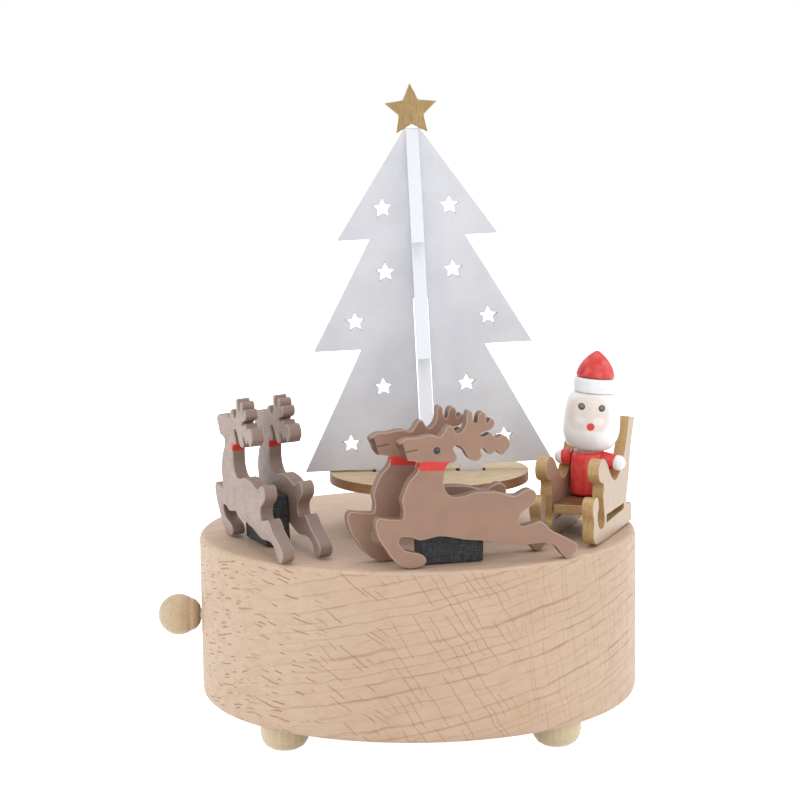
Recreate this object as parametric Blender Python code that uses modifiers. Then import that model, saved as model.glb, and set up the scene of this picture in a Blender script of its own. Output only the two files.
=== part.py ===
"""Wooden music box: a turning paper-thin tree over a round base with deer, a sleigh and a doll.

Metres, +Z up. The origin is the centre of the base's underside and -Y faces the viewer.
"""
import math

import bmesh
import bpy
from mathutils import Matrix, Vector

# Clearances
GAP = 0.0003             # between pieces that are glued or screwed together
RUNNING_GAP = 0.0003     # round a turning shaft
SLOT_GAP = 0.0003        # each side of a halving joint or a tenon

# Base block
BASE_RADIUS = 0.0575
BASE_HEIGHT = 0.043
TOP_FILLET = 0.0014
BOTTOM_FILLET = 0.0021
CAVITY_RADIUS = 0.0385
CAVITY_TOP_WALL = 0.006
CAVITY_FLAT_X = -0.0243   # flat wall of the cavity that carries the movement

# Bottom cover and its screws
COVER_THICKNESS = 0.003
COVER_LEDGE_WIDTH = 0.0038
SOUND_HOLE_RADIUS = 0.003
SOUND_HOLE_RING = 0.022
SOUND_HOLE_COUNT = 6
COVER_SCREW_COUNT = 3
COVER_SCREW_SHANK = 0.0009
COVER_SCREW_HEAD = 0.0019
COVER_SCREW_HEAD_HEIGHT = 0.0011
COVER_SCREW_LENGTH = 0.0085

# Feet
FOOT_RADIUS = 0.0062
FOOT_HEIGHT = 0.0068
FOOT_INSET = 0.0088       # from the base's side to the feet's centres
FOOT_RING_START = 45        # degrees
FOOT_FLAT_RADIUS = 0.0022

# Winding knob, arbor and bush
ARBOR_RADIUS = 0.0015
KNOB_BALL_RADIUS = 0.0055
KNOB_NECK_RADIUS = 0.0024
KNOB_CENTRE_FROM_BASE = 0.0062
KNOB_SOCKET_DEPTH = 0.008
ARBOR_BUSH_RADIUS = 0.0032
ARBOR_BUSH_LENGTH = 0.008
WALL_GAP_AT_KNOB = 0.0005

# Turntable axis and spindle
TURNTABLE_X = 0.0033
SPINDLE_RADIUS = 0.0015
SPINDLE_BOTTOM = 0.005
SHOULDER_RADIUS = 0.0026
SPINDLE_BUSH_RADIUS = 0.004
DISC_RADIUS = 0.0262
DISC_THICKNESS = 0.0025
DISC_TOP_RISE = 0.0153    # disc top above the base top
HUB_RADIUS = 0.0045
HUB_HEIGHT = 0.004

# Tree
TREE_LEAN = math.radians(2.2)
TREE_LIFT = 0.0013        # lifts the leaning tree clear of the disc rim
TREE_HEIGHT = 0.0885
PANEL_THICKNESS = 0.0033
TIP_HALF_WIDTHS = (0.0021, 0.0210, 0.0286, 0.0325)    # apex, then each tier's tip
TIP_DROPS = (0.0, 0.0281, 0.0568, 0.0885)             # below the apex
NOTCH_HALF_WIDTHS = (0.0124, 0.0161)
TENON_INNER = 0.008
TENON_OUTER = 0.014
TENON_DEPTH = 0.0033
HOLE_RADIUS = 0.0026
HOLE_PLACES = ((0.0087, 0.0203), (0.0088, 0.0370), (0.0174, 0.0496),
               (0.0109, 0.0671), (0.0201, 0.0817))    # out from the axis, below the apex
STAR_INNER_SHARE = 0.48
STAR_RADIUS = 0.0066
STAR_THICKNESS = 0.003
STAR_RISE = 0.0052        # star centre above the apex

# Deer, drawn on a plate that is as long as the outline below, in millimetres
DEER_LENGTH = 0.0515
DEER_THICKNESS = 0.0035
DEER_OUTLINE = (
    (-15.2, 30.4), (-10.8, 31.4), (-6.3, 31.8), (-4.9, 31.3), (-3.6, 32.9), (-2.2, 34.1), (-1.3, 33.0),
    (-0.3, 31.9), (1.1, 32.9), (1.8, 34.4), (2.0, 36.6), (2.6, 37.4), (3.3, 36.6), (4.1, 34.0),
    (4.7, 35.6), (5.8, 37.0), (6.8, 36.0), (7.1, 34.0), (8.0, 35.3), (9.0, 34.0), (7.7, 32.3),
    (5.1, 31.2), (6.4, 30.9), (8.0, 31.6), (9.4, 30.2), (10.8, 30.9), (12.2, 30.3), (12.8, 28.1),
    (11.8, 26.9), (10.6, 26.0), (9.3, 27.4), (7.9, 26.2), (6.4, 27.8), (5.3, 27.9), (5.7, 26.2),
    (4.2, 24.9), (2.1, 26.1), (0.8, 28.3), (-1.1, 29.1), (-1.4, 27.8), (-0.6, 26.0), (-1.7, 24.8),
    (-2.8, 24.8), (-3.9, 21.7), (-4.0, 19.0), (-1.7, 16.4), (3.8, 17.2), (10.0, 16.8), (14.1, 15.7),
    (17.5, 17.2), (19.4, 16.2), (19.0, 13.7), (15.7, 11.4), (15.0, 9.3), (15.9, 8.0), (20.4, 9.1),
    (23.3, 6.6), (28.9, 3.5), (30.2, 2.3), (28.6, -0.2), (27.1, -0.6), (24.5, 2.5), (21.0, 3.6),
    (14.9, 3.2), (8.6, 4.7), (1.0, 5.7), (-5.2, 6.9), (-10.2, 6.2), (-14.9, 7.3), (-15.5, 5.8),
    (-13.6, 3.8), (-10.4, 2.9), (-8.6, 1.0), (-10.6, -0.4), (-15.0, 0.2), (-18.8, 4.6), (-21.3, 10.3),
    (-20.4, 12.3), (-14.5, 11.6), (-14.6, 16.1), (-12.5, 21.1), (-9.9, 25.2), (-13.3, 26.0),
    (-14.6, 28.6),
)
DEER_STEP_COUNT = 2       # mesh steps between two outline points
BLOCK_LENGTH = 0.0159
BLOCK_WIDTH = 0.0066
BLOCK_HEIGHT = 0.013
BLOCK_REACH = -0.0090     # the block's head end, along the deer's own axis
# Each pair: outer deer's place on the base as inset from the side and bearing in degrees,
# its turn about Z, how far the inner deer stands ahead, and how far the pair leans outwards
DEER_PAIRS = {
    "front": ((0.0054, -78.7), math.radians(15), 0.0044, 0.0),
    "left": ((0.0084, -155.7), math.radians(-68), 0.0022, math.radians(3)),
}

# Sleigh, its own axis runs from the front to the rear
SLEIGH_PLACE = (0.0030, -34.7)    # inset and bearing of the outer runner's nose
SLEIGH_TURN = math.radians(70)
SLEIGH_SIDE_THICKNESS = 0.003
SLEIGH_SPACING = 0.0138
RUNNER_LENGTH = 0.0355
SEAT_FRONT = 0.0078
SEAT_REAR = 0.0314
SEAT_TOP = 0.0089
SEAT_THICKNESS = 0.0025
BACK_BLOCK_THICKNESS = 0.0022
BACK_BLOCK_HEIGHT = 0.0095
# Side outline in millimetres, x back from the runner's nose and y up from the base
SIDE_OUTLINE = (
    (35.5, 0.0), (35.6, 2.2), (35.2, 4.6), (32.0, 5.0), (30.2, 6.0), (31.0, 8.6), (33.0, 13.5),
    (34.6, 19.5), (37.4, 25.0), (38.6, 27.2), (32.8, 28.2), (31.4, 24.6), (29.2, 20.6), (26.2, 17.2),
    (22.8, 14.6), (19.4, 13.5), (16.4, 14.2), (13.4, 16.6), (10.8, 19.2), (7.6, 20.8), (4.6, 20.6),
    (2.9, 18.6), (3.3, 16.4), (5.4, 15.0), (7.4, 14.4), (7.2, 11.0), (8.0, 7.2), (8.3, 3.9),
    (4.4, 3.4), (2.2, 5.0), (1.7, 7.4), (2.9, 9.4), (1.9, 11.6), (-0.4, 12.0), (-2.4, 10.6),
    (-2.5, 8.4), (-1.6, 6.2), (-2.2, 3.4), (-1.3, 1.0), (1.0, 0.0),
)
SIDE_SLOT = ((10.4, 5.9), (10.4, 3.8), (27.6, 4.5), (27.8, 5.9))
SIDE_STEP_COUNT = 3

# Doll
DOLL_BODY_RADIUS = 0.005
DOLL_SHOULDER_RADIUS = 0.0046
DOLL_BODY_HEIGHT = 0.0114
DOLL_HEAD_RADIUS = 0.0075
HEAD_CHIN_RADIUS = 0.0050
HEAD_CROWN_RADIUS = 0.0061
HEAD_EDGE = 0.0006        # eased edge at the chin and the crown
HEAD_WIDEST = 0.0055      # height of the cheeks above the chin
HEAD_UNDER_BAND = 0.0149  # flat top of the head, above its chin
DOLL_HEAD_TILT = math.radians(5)
HAT_BAND_RADIUS = 0.0056
HAT_BAND_HEIGHT = 0.0036
HAT_RADIUS = 0.0051
HAT_HEIGHT = 0.0067
ARM_RADIUS = 0.0019
SHOULDER_HEIGHT = 0.0101  # where the arms' axes meet the body's, above its foot
SLEEVE_LAP = 0.0004       # the sleeve stops this far short of the hand's middle
HAND_GAP = 0.0001
# Each hand: centre from the middle of the body's foot, and radius
HANDS = {"left": ((-0.0070, 0.0026, 0.0094), 0.0019), "right": ((0.0071, -0.0048, 0.0088), 0.0020)}

# Spring barrel, its crown teeth and the mainspring
BARREL_BOTTOM = 0.0078
BARREL_UNDER_GEAR = 0.0006
BARREL_LENGTH = 0.0126
BARREL_WALL = 0.001
CROWN_TEETH = 24
CROWN_TOOTH_LENGTH = 0.0022
CROWN_TOOTH_HEIGHT = 0.0017
PINION_TIP_GAP = 0.001    # between the pinion's tips and the barrel's face
TOOTH_WIDTH = 0.001
CAP_THICKNESS = 0.001
SPRING_INNER = 0.0027
SPRING_INSET = 0.0019     # from the barrel's outside to the spring's
SPRING_STRIP = 0.0004
SPRING_TURNS = 5

# Cylinder, pinion and gear
CYLINDER_RADIUS = 0.0055
CYLINDER_BOTTOM = 0.012
CYLINDER_UNDER_GEAR = 0.0024
PIN_LENGTH = 0.0005
PIN_RADIUS = 0.0002
PIN_ROWS = 18
PINS_PER_ROW = 2
PINION_TEETH = 12
PINION_ROOT = 0.0046
PINION_OUTER = 0.0064
PINION_THICKNESS = 0.0022
GEAR_TEETH = 48
GEAR_MODULE = 0.0005
GEAR_UNDER_CEILING = 0.0036
GEAR_THICKNESS = 0.0015

# Bedplate, bridge and comb
PLATE_THICKNESS = 0.002
PLATE_END_GAP = 0.0021    # between the bedplate's ends and the round cavity wall
PLATE_BOTTOM = 0.0045
PLATE_UNDER_CEILING = 0.0008
PLATE_SCREW_INSET = 0.0105
PLATE_SCREW_MARGIN = 0.0037
BRIDGE_THICKNESS = 0.0014
BRIDGE_HALF_WIDTH = 0.004
COMB_THICKNESS = 0.0008
COMB_TEETH = 18
COMB_TIP_GAP = 0.0001
COMB_ROOT_INSET = 0.0009  # from the bedplate's end
COMB_ROOT = 0.008
COMB_TOOTH_SHARE = 0.62
COMB_BLOCK_RIM = 0.0003   # the block stands this far past the comb, above and below
COMB_MARGIN = 0.0006      # from the comb's ends to the cylinder's
SCREW_SHANK = 0.0009
SCREW_HEAD = 0.0018
SCREW_HEAD_HEIGHT = 0.0012

# Governor
GOVERNOR_PINION_TEETH = 10
GOVERNOR_WHEEL_TEETH = 20
GOVERNOR_WHEEL_Z = 0.0240
GOVERNOR_WHEEL_THICKNESS = 0.0015
GOVERNOR_ARBOR_RADIUS = 0.0006
WORM_ROOT = 0.0009
WORM_THREAD = 0.0004
WORM_STARTS = 4
WORM_STEPS = 10
WORM_FROM_WHEEL = 0.0012
FAN_LENGTH = 0.0045
FAN_HALF_HEIGHT = 0.0036
FAN_ROOM = 0.0008         # between the fan and the frame's back plate
FAN_THICKNESS = 0.0006
FRAME_THICKNESS = 0.0012
CHEEK_BACK_X = -0.004
CHEEK_FRONT_X = 0.016

FINE_TEETH = 24           # wheels with more teeth than this get V-shaped roots

# Values that follow from the driving ones
DISC_TOP = BASE_HEIGHT + DISC_TOP_RISE
DISC_BOTTOM = DISC_TOP - DISC_THICKNESS
CAVITY_TOP = BASE_HEIGHT - CAVITY_TOP_WALL
COVER_RADIUS = CAVITY_RADIUS + COVER_LEDGE_WIDTH
COVER_SCREW_RING = COVER_RADIUS - COVER_LEDGE_WIDTH / 2
FOOT_RING = BASE_RADIUS - FOOT_INSET
PLATE_TOP = CAVITY_TOP - PLATE_UNDER_CEILING
GEAR_BOTTOM = CAVITY_TOP - GEAR_UNDER_CEILING
CYLINDER_TOP = GEAR_BOTTOM - CYLINDER_UNDER_GEAR
BARREL_RADIUS = (GEAR_BOTTOM - BARREL_UNDER_GEAR - BARREL_BOTTOM) / 2
ARBOR_Z = BARREL_BOTTOM + BARREL_RADIUS
CROWN_TOOTH_INNER = BARREL_RADIUS - CROWN_TOOTH_LENGTH
SPRING_OUTER = BARREL_RADIUS - SPRING_INSET
PLATE_BACK_X = CAVITY_FLAT_X + GAP
PLATE_FRONT_X = PLATE_BACK_X + PLATE_THICKNESS
PLATE_HALF_WIDTH = math.sqrt(CAVITY_RADIUS ** 2 - PLATE_BACK_X ** 2) - PLATE_END_GAP
ON_PLATE_X = PLATE_FRONT_X + GAP
KNOB_X = -BASE_RADIUS - KNOB_CENTRE_FROM_BASE
COVER_LEDGE = COVER_THICKNESS + GAP
BARREL_FRONT_X = TURNTABLE_X - PINION_OUTER - PINION_TIP_GAP
BARREL_BACK_X = BARREL_FRONT_X - BARREL_LENGTH
GEAR_PITCH = GEAR_TEETH * GEAR_MODULE / 2
GOVERNOR_PINION_PITCH = GOVERNOR_PINION_TEETH * GEAR_MODULE / 2
GOVERNOR_WHEEL_PITCH = GOVERNOR_WHEEL_TEETH * GEAR_MODULE / 2
GOVERNOR_Y = GEAR_PITCH + GOVERNOR_PINION_PITCH
WHEEL_TIP = GOVERNOR_WHEEL_PITCH + GEAR_MODULE
WORM_Y = GOVERNOR_Y + WHEEL_TIP + WORM_FROM_WHEEL
WORM_Z = GOVERNOR_WHEEL_Z + GOVERNOR_WHEEL_THICKNESS / 2
FRAME_Y = WORM_Y + FAN_HALF_HEIGHT + FAN_ROOM
WORM_PITCH = math.pi * GEAR_MODULE

COLLECTION_NAME = "music_box"
CUTTER_COLLECTION_NAME = "cutters"


def clear_scene():
    """Remove what the start-up file holds."""
    for old in list(bpy.data.objects):
        bpy.data.objects.remove(old, do_unlink=True)


def new_collection(name):
    """Make a collection under the scene's own."""
    made = bpy.data.collections.new(name)
    bpy.context.scene.collection.children.link(made)
    return made


def new_material(name, colour, roughness, metallic=0.0):
    """Make a Principled material."""
    made = bpy.data.materials.new(name)
    made.use_nodes = True
    shader = made.node_tree.nodes["Principled BSDF"]
    shader.inputs["Base Color"].default_value = (*colour, 1.0)
    shader.inputs["Roughness"].default_value = roughness
    shader.inputs["Metallic"].default_value = metallic
    made.diffuse_color = (*colour, 1.0)
    return made


clear_scene()
PARTS = new_collection(COLLECTION_NAME)
CUTTERS = new_collection(CUTTER_COLLECTION_NAME)

BEECH = new_material("beech", (0.74, 0.54, 0.38), 0.55)
PALE_WOOD = new_material("pale_wood", (0.80, 0.68, 0.42), 0.5)
PLYWOOD = new_material("plywood", (0.78, 0.62, 0.42), 0.6)
WHITE_PAINT = new_material("white_paint", (0.80, 0.80, 0.82), 0.5)
BROWN_PAINT = new_material("brown_paint", (0.36, 0.23, 0.17), 0.55)
BLACK_PAINT = new_material("black_paint", (0.03, 0.03, 0.035), 0.6)
GOLD_PAINT = new_material("gold_paint", (0.55, 0.37, 0.15), 0.4, 0.4)
RED_PAINT = new_material("red_paint", (0.62, 0.04, 0.03), 0.35)
HEAD_PAINT = new_material("head_paint", (0.85, 0.85, 0.85), 0.3)
STEEL = new_material("steel", (0.62, 0.62, 0.63), 0.3, 1.0)
BRASS = new_material("brass", (0.72, 0.52, 0.22), 0.3, 1.0)


def place(obj, material, parent=None, location=(0, 0, 0), rotation=(0, 0, 0)):
    """Link an object with its material under an axis or frame."""
    PARTS.objects.link(obj)
    obj.data.materials.clear()
    obj.data.materials.append(material)
    obj.parent = parent
    obj.location = location
    obj.rotation_euler = rotation
    return obj


def axis_empty(name, location, rotation=(0, 0, 0), parent=None):
    """Mark a joint axis or the frame of a group."""
    made = bpy.data.objects.new(name, None)
    made.empty_display_size = 0.01
    PARTS.objects.link(made)
    made.parent = parent
    made.location = location
    made.rotation_euler = rotation
    return made


def shade(mesh, angle=math.radians(35)):
    """Smooth the round faces and keep the real edges."""
    mesh.shade_smooth()
    mesh.set_sharp_from_angle(angle=angle)


def box_mesh(name, low, high):
    """Box between two corners."""
    made = bmesh.new()
    bmesh.ops.create_cube(made, size=1.0)
    low, high = Vector(low), Vector(high)
    size = high - low
    bmesh.ops.scale(made, vec=size, verts=made.verts)
    bmesh.ops.translate(made, vec=(low + high) / 2, verts=made.verts)
    mesh = bpy.data.meshes.new(name)
    made.to_mesh(mesh)
    made.free()
    return mesh


def rod_mesh(name, radius, low, high, segments=24, axis="Z", radius_high=None):
    """Cylinder or cone along an axis through the origin, from low to high."""
    made = bmesh.new()
    top = radius if radius_high is None else radius_high
    bmesh.ops.create_cone(made, cap_ends=True, segments=segments, radius1=radius, radius2=top,
                          depth=high - low)
    bmesh.ops.translate(made, vec=(0, 0, (low + high) / 2), verts=made.verts)
    if axis == "X":
        turn_mesh(made, "Y", math.pi / 2)
    if axis == "Y":
        turn_mesh(made, "X", -math.pi / 2)
    mesh = bpy.data.meshes.new(name)
    made.to_mesh(mesh)
    made.free()
    return mesh


def turn_mesh(made, axis, angle):
    """Turn a bmesh about an axis through the origin."""
    bmesh.ops.rotate(made, cent=(0, 0, 0), matrix=Matrix.Rotation(angle, 3, axis), verts=made.verts)


def turned_mesh(name, profile, steps):
    """Turn a profile, listed from the top down, about Z."""
    rough = bpy.data.meshes.new(name + "_profile")
    rough.from_pydata([(radius, 0, height) for radius, height in profile],
                      [(i, i + 1) for i in range(len(profile) - 1)], [])
    holder = bpy.data.objects.new(name + "_profile", rough)
    CUTTERS.objects.link(holder)
    screw = holder.modifiers.new("Turn", "SCREW")
    screw.axis = "Z"
    screw.steps = steps
    screw.render_steps = steps
    screw.use_merge_vertices = True
    screw.merge_threshold = 0.00001
    mesh = baked_mesh(holder, name)
    bpy.data.objects.remove(holder)
    return mesh


def baked_mesh(obj, name):
    """Read an object's evaluated shape as one welded mesh in its own coordinates."""
    graph = bpy.context.evaluated_depsgraph_get()
    graph.update()
    mesh = bpy.data.meshes.new_from_object(obj.evaluated_get(graph))
    mesh.name = name
    made = bmesh.new()
    made.from_mesh(mesh)
    bmesh.ops.remove_doubles(made, verts=made.verts, dist=0.000005)
    bmesh.ops.recalc_face_normals(made, faces=made.faces)
    made.to_mesh(mesh)
    made.free()
    return mesh


def plate_mesh(name, outlines, thickness, smooth_steps=0, corners=()):
    """Flat plate in XZ from y = 0 to y = thickness; later outlines are holes in the first.

    The first outline is smoothed when smooth_steps is set, apart from its listed corners.
    """
    curve = bpy.data.curves.new(name + "_outline", "CURVE")
    curve.dimensions = "2D"
    curve.fill_mode = "BOTH"
    curve.extrude = thickness / 2
    curve.resolution_u = max(1, smooth_steps)
    for number, outline in enumerate(outlines):
        if smooth_steps and number == 0:
            spline = curve.splines.new("BEZIER")
            spline.bezier_points.add(len(outline) - 1)
            for index, (point, place_2d) in enumerate(zip(spline.bezier_points, outline)):
                kind = "VECTOR" if index in corners else "AUTO"
                point.co = (*place_2d, 0)
                point.handle_left_type = kind
                point.handle_right_type = kind
        else:
            spline = curve.splines.new("POLY")
            spline.points.add(len(outline) - 1)
            for point, place_2d in zip(spline.points, outline):
                point.co = (*place_2d, 0, 1)
        spline.use_cyclic_u = True
    holder = bpy.data.objects.new(name + "_outline", curve)
    CUTTERS.objects.link(holder)
    mesh = baked_mesh(holder, name)
    bpy.data.objects.remove(holder)
    made = bmesh.new()
    made.from_mesh(mesh)
    turn_mesh(made, "X", math.pi / 2)
    bmesh.ops.translate(made, vec=(0, thickness / 2, 0), verts=made.verts)
    made.to_mesh(mesh)
    made.free()
    return mesh


def tube_mesh(name, points, radius, resolution=0):
    """Tube along a list of points, with closed ends."""
    curve = bpy.data.curves.new(name + "_path", "CURVE")
    curve.dimensions = "3D"
    curve.bevel_depth = radius
    curve.bevel_resolution = resolution
    curve.use_fill_caps = True
    spline = curve.splines.new("POLY")
    spline.points.add(len(points) - 1)
    for point, spot in zip(spline.points, points):
        point.co = (*spot, 1)
    holder = bpy.data.objects.new(name + "_path", curve)
    CUTTERS.objects.link(holder)
    mesh = baked_mesh(holder, name)
    bpy.data.objects.remove(holder)
    return mesh


def joined_mesh(name, base, additions=(), cuts=()):
    """Union and cut meshes that share one set of coordinates, and return one welded mesh."""
    holder = bpy.data.objects.new(name + "_work", base)
    CUTTERS.objects.link(holder)
    helpers = []
    for operation, tools in (("UNION", additions), ("DIFFERENCE", cuts)):
        for tool in tools:
            helper = bpy.data.objects.new(name + "_tool", tool)
            helper.hide_render = True
            helper.display_type = "WIRE"
            CUTTERS.objects.link(helper)
            boolean = holder.modifiers.new(operation.title(), "BOOLEAN")
            boolean.operation = operation
            boolean.solver = "EXACT"
            boolean.object = helper
            helpers.append(helper)
    mesh = baked_mesh(holder, name)
    for helper in helpers + [holder]:
        bpy.data.objects.remove(helper)
    return mesh


def moved_mesh(mesh, offset=(0, 0, 0), turn=0.0, axis="Z"):
    """Copy a mesh, turned about an axis and then moved."""
    copy = mesh.copy()
    made = bmesh.new()
    made.from_mesh(copy)
    turn_mesh(made, axis, turn)
    bmesh.ops.translate(made, vec=offset, verts=made.verts)
    made.to_mesh(copy)
    made.free()
    return copy


def arc(centre, radius, start, end, steps):
    """Points of an arc in degrees, both ends included."""
    points = []
    for step in range(steps + 1):
        angle = math.radians(start + (end - start) * step / steps)
        points.append((centre[0] + radius * math.cos(angle), centre[1] + radius * math.sin(angle)))
    return points


def ring_places(count, radius, start_degrees=0.0):
    """Places evenly spaced on a circle."""
    angles = [math.radians(start_degrees + 360 * i / count) for i in range(count)]
    return [(radius * math.cos(a), radius * math.sin(a)) for a in angles]


def star_outline(centre, radius, inner_share=STAR_INNER_SHARE):
    """Five-pointed star with one point up."""
    points = []
    for step in range(10):
        reach = radius if step % 2 == 0 else radius * inner_share
        angle = math.radians(90 + 36 * step)
        points.append((centre[0] + reach * math.cos(angle), centre[1] + reach * math.sin(angle)))
    return points


def gear_outline(teeth, root, outer, tooth_width, tip_share=0.7, phase=0.0):
    """Outline of a gear with tapered teeth; a tooth is centred on the phase angle."""
    points = []
    pitch = 2 * math.pi / teeth
    tip_half = tooth_width * tip_share / 2 / outer
    root_half = min(tooth_width / 2 / root, pitch * 0.42)
    for tooth in range(teeth):
        middle = phase + pitch * tooth
        turns = [(root, -root_half), (outer, -tip_half), (outer, tip_half), (root, root_half)]
        if teeth > FINE_TEETH:
            turns = [(root, -pitch / 2), (outer, -tip_half), (outer, tip_half)]
        for reach, turn in turns:
            points.append((reach * math.cos(middle + turn), reach * math.sin(middle + turn)))
    return points


def flat_disc_mesh(name, outline, holes, low, high):
    """Plate in XY between two heights."""
    mesh = plate_mesh(name, [outline] + list(holes), high - low)
    made = bmesh.new()
    made.from_mesh(mesh)
    turn_mesh(made, "X", -math.pi / 2)
    bmesh.ops.translate(made, vec=(0, 0, high), verts=made.verts)
    made.to_mesh(mesh)
    made.free()
    return mesh


def screw_mesh(name, shank, head, head_height, length):
    """Pan-head screw with a slot, its head above z = 0 and its shank below."""
    bevel = head_height * 0.35
    profile = [(0, head_height), (head - bevel, head_height), (head, head_height - bevel), (head, 0),
               (shank, 0), (shank, -length + 2 * shank), (0, -length)]
    slot = box_mesh(name + "_slot", (-head * 1.2, -head * 0.12, head_height * 0.55),
                    (head * 1.2, head * 0.12, head_height * 1.5))
    return joined_mesh(name, turned_mesh(name + "_body", profile, 12), cuts=[slot])


# Base, cover and feet

def make_base_block():
    """Turned block with a D-shaped cavity, a cover ledge and the bores of the two shafts."""
    profile = [(0, BASE_HEIGHT)]
    profile += arc((BASE_RADIUS - TOP_FILLET, BASE_HEIGHT - TOP_FILLET), TOP_FILLET, 90, 0, 3)
    profile += arc((BASE_RADIUS - BOTTOM_FILLET, BOTTOM_FILLET), BOTTOM_FILLET, 0, -90, 3)
    profile += [(0, 0)]
    body = turned_mesh("base_body", profile, 72)
    half_angle = math.acos(CAVITY_FLAT_X / CAVITY_RADIUS)
    outline = arc((0, 0), CAVITY_RADIUS, -math.degrees(half_angle), math.degrees(half_angle), 26)
    cavity = flat_disc_mesh("cavity", outline, [], COVER_THICKNESS / 2, CAVITY_TOP)
    ledge = rod_mesh("ledge", COVER_RADIUS + GAP, -COVER_THICKNESS, COVER_LEDGE, 48)
    bush_bore = moved_mesh(rod_mesh("bush_bore", SPINDLE_BUSH_RADIUS + GAP, CAVITY_TOP - GAP,
                                    BASE_HEIGHT + GAP, 24), (TURNTABLE_X, 0, 0))
    arbor_bore = moved_mesh(rod_mesh("arbor_bore", ARBOR_RADIUS + 3 * RUNNING_GAP, -BASE_RADIUS * 1.1,
                                     CAVITY_FLAT_X + 0.001, 16, "X"), (0, 0, ARBOR_Z))
    arbor_bush_bore = moved_mesh(
        rod_mesh("arbor_bush_bore", ARBOR_BUSH_RADIUS + GAP, -BASE_RADIUS * 1.1,
                 -BASE_RADIUS + ARBOR_BUSH_LENGTH + GAP, 24, "X"), (0, 0, ARBOR_Z))
    screw_bores = [moved_mesh(rod_mesh("screw_bore", COVER_SCREW_SHANK + GAP, 0, COVER_SCREW_LENGTH + GAP,
                                       12), (x, y, 0))
                   for x, y in ring_places(COVER_SCREW_COUNT, COVER_SCREW_RING, 90)]
    plate_bores = [moved_mesh(rod_mesh("plate_bore", SCREW_SHANK + GAP, CAVITY_FLAT_X - 0.008,
                                       CAVITY_FLAT_X + 0.001, 12, "X"), (0, y, z))
                   for y, z in plate_screw_places()]
    cuts = [cavity, ledge, bush_bore, arbor_bore, arbor_bush_bore] + screw_bores + plate_bores
    mesh = joined_mesh("base_block", body, cuts=cuts)
    shade(mesh)
    place(bpy.data.objects.new("base_block", mesh), BEECH)


def plate_screw_places():
    """Where the bedplate is screwed to the cavity's flat wall, in y and z."""
    reach = PLATE_HALF_WIDTH - PLATE_SCREW_INSET
    return ((-reach, PLATE_TOP - PLATE_SCREW_MARGIN), (reach, PLATE_BOTTOM + PLATE_SCREW_MARGIN))


def make_bottom_cover():
    """Thin round cover with a ring of sound holes."""
    outline = ring_places(48, COVER_RADIUS)
    sound_holes = [[(x + u, y + v) for u, v in ring_places(12, SOUND_HOLE_RADIUS)]
                   for x, y in ring_places(SOUND_HOLE_COUNT, SOUND_HOLE_RING)]
    screw_places = ring_places(COVER_SCREW_COUNT, COVER_SCREW_RING, 90)
    screw_holes = [[(x + u, y + v) for u, v in ring_places(12, COVER_SCREW_SHANK + GAP)]
                   for x, y in screw_places]
    plate = flat_disc_mesh("cover_plate", outline, sound_holes + screw_holes, 0, COVER_THICKNESS)
    sinks = [moved_mesh(rod_mesh("sink", COVER_SCREW_HEAD + GAP, -COVER_SCREW_HEAD_HEIGHT,
                                 COVER_SCREW_HEAD_HEIGHT + GAP, 16), (x, y, 0)) for x, y in screw_places]
    mesh = joined_mesh("bottom_cover", plate, cuts=sinks)
    shade(mesh)
    place(bpy.data.objects.new("bottom_cover", mesh), PLYWOOD)
    screw = screw_mesh("cover_screw", COVER_SCREW_SHANK, COVER_SCREW_HEAD, COVER_SCREW_HEAD_HEIGHT,
                       COVER_SCREW_LENGTH - COVER_SCREW_HEAD_HEIGHT - GAP)
    shade(screw)
    for number, (x, y) in enumerate(screw_places, 1):
        screw_object = bpy.data.objects.new(f"cover_screw_{number}", screw)
        place(screw_object, STEEL, None, (x, y, COVER_SCREW_HEAD_HEIGHT), (math.pi, 0, 0))


def make_feet():
    """Four turned feet with rounded ends."""
    round_radius = FOOT_RADIUS - FOOT_FLAT_RADIUS
    profile = [(0, -GAP), (FOOT_RADIUS, -GAP)]
    profile += arc((FOOT_FLAT_RADIUS, -FOOT_HEIGHT + round_radius), round_radius, 0, -90, 4)
    profile += [(0, -FOOT_HEIGHT)]
    mesh = turned_mesh("foot", profile, 22)
    shade(mesh)
    for number, (x, y) in enumerate(ring_places(4, FOOT_RING, FOOT_RING_START), 1):
        place(bpy.data.objects.new(f"foot_{number}", mesh), PALE_WOOD, None, (x, y, 0))


# Winding knob, arbor and bush

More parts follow.
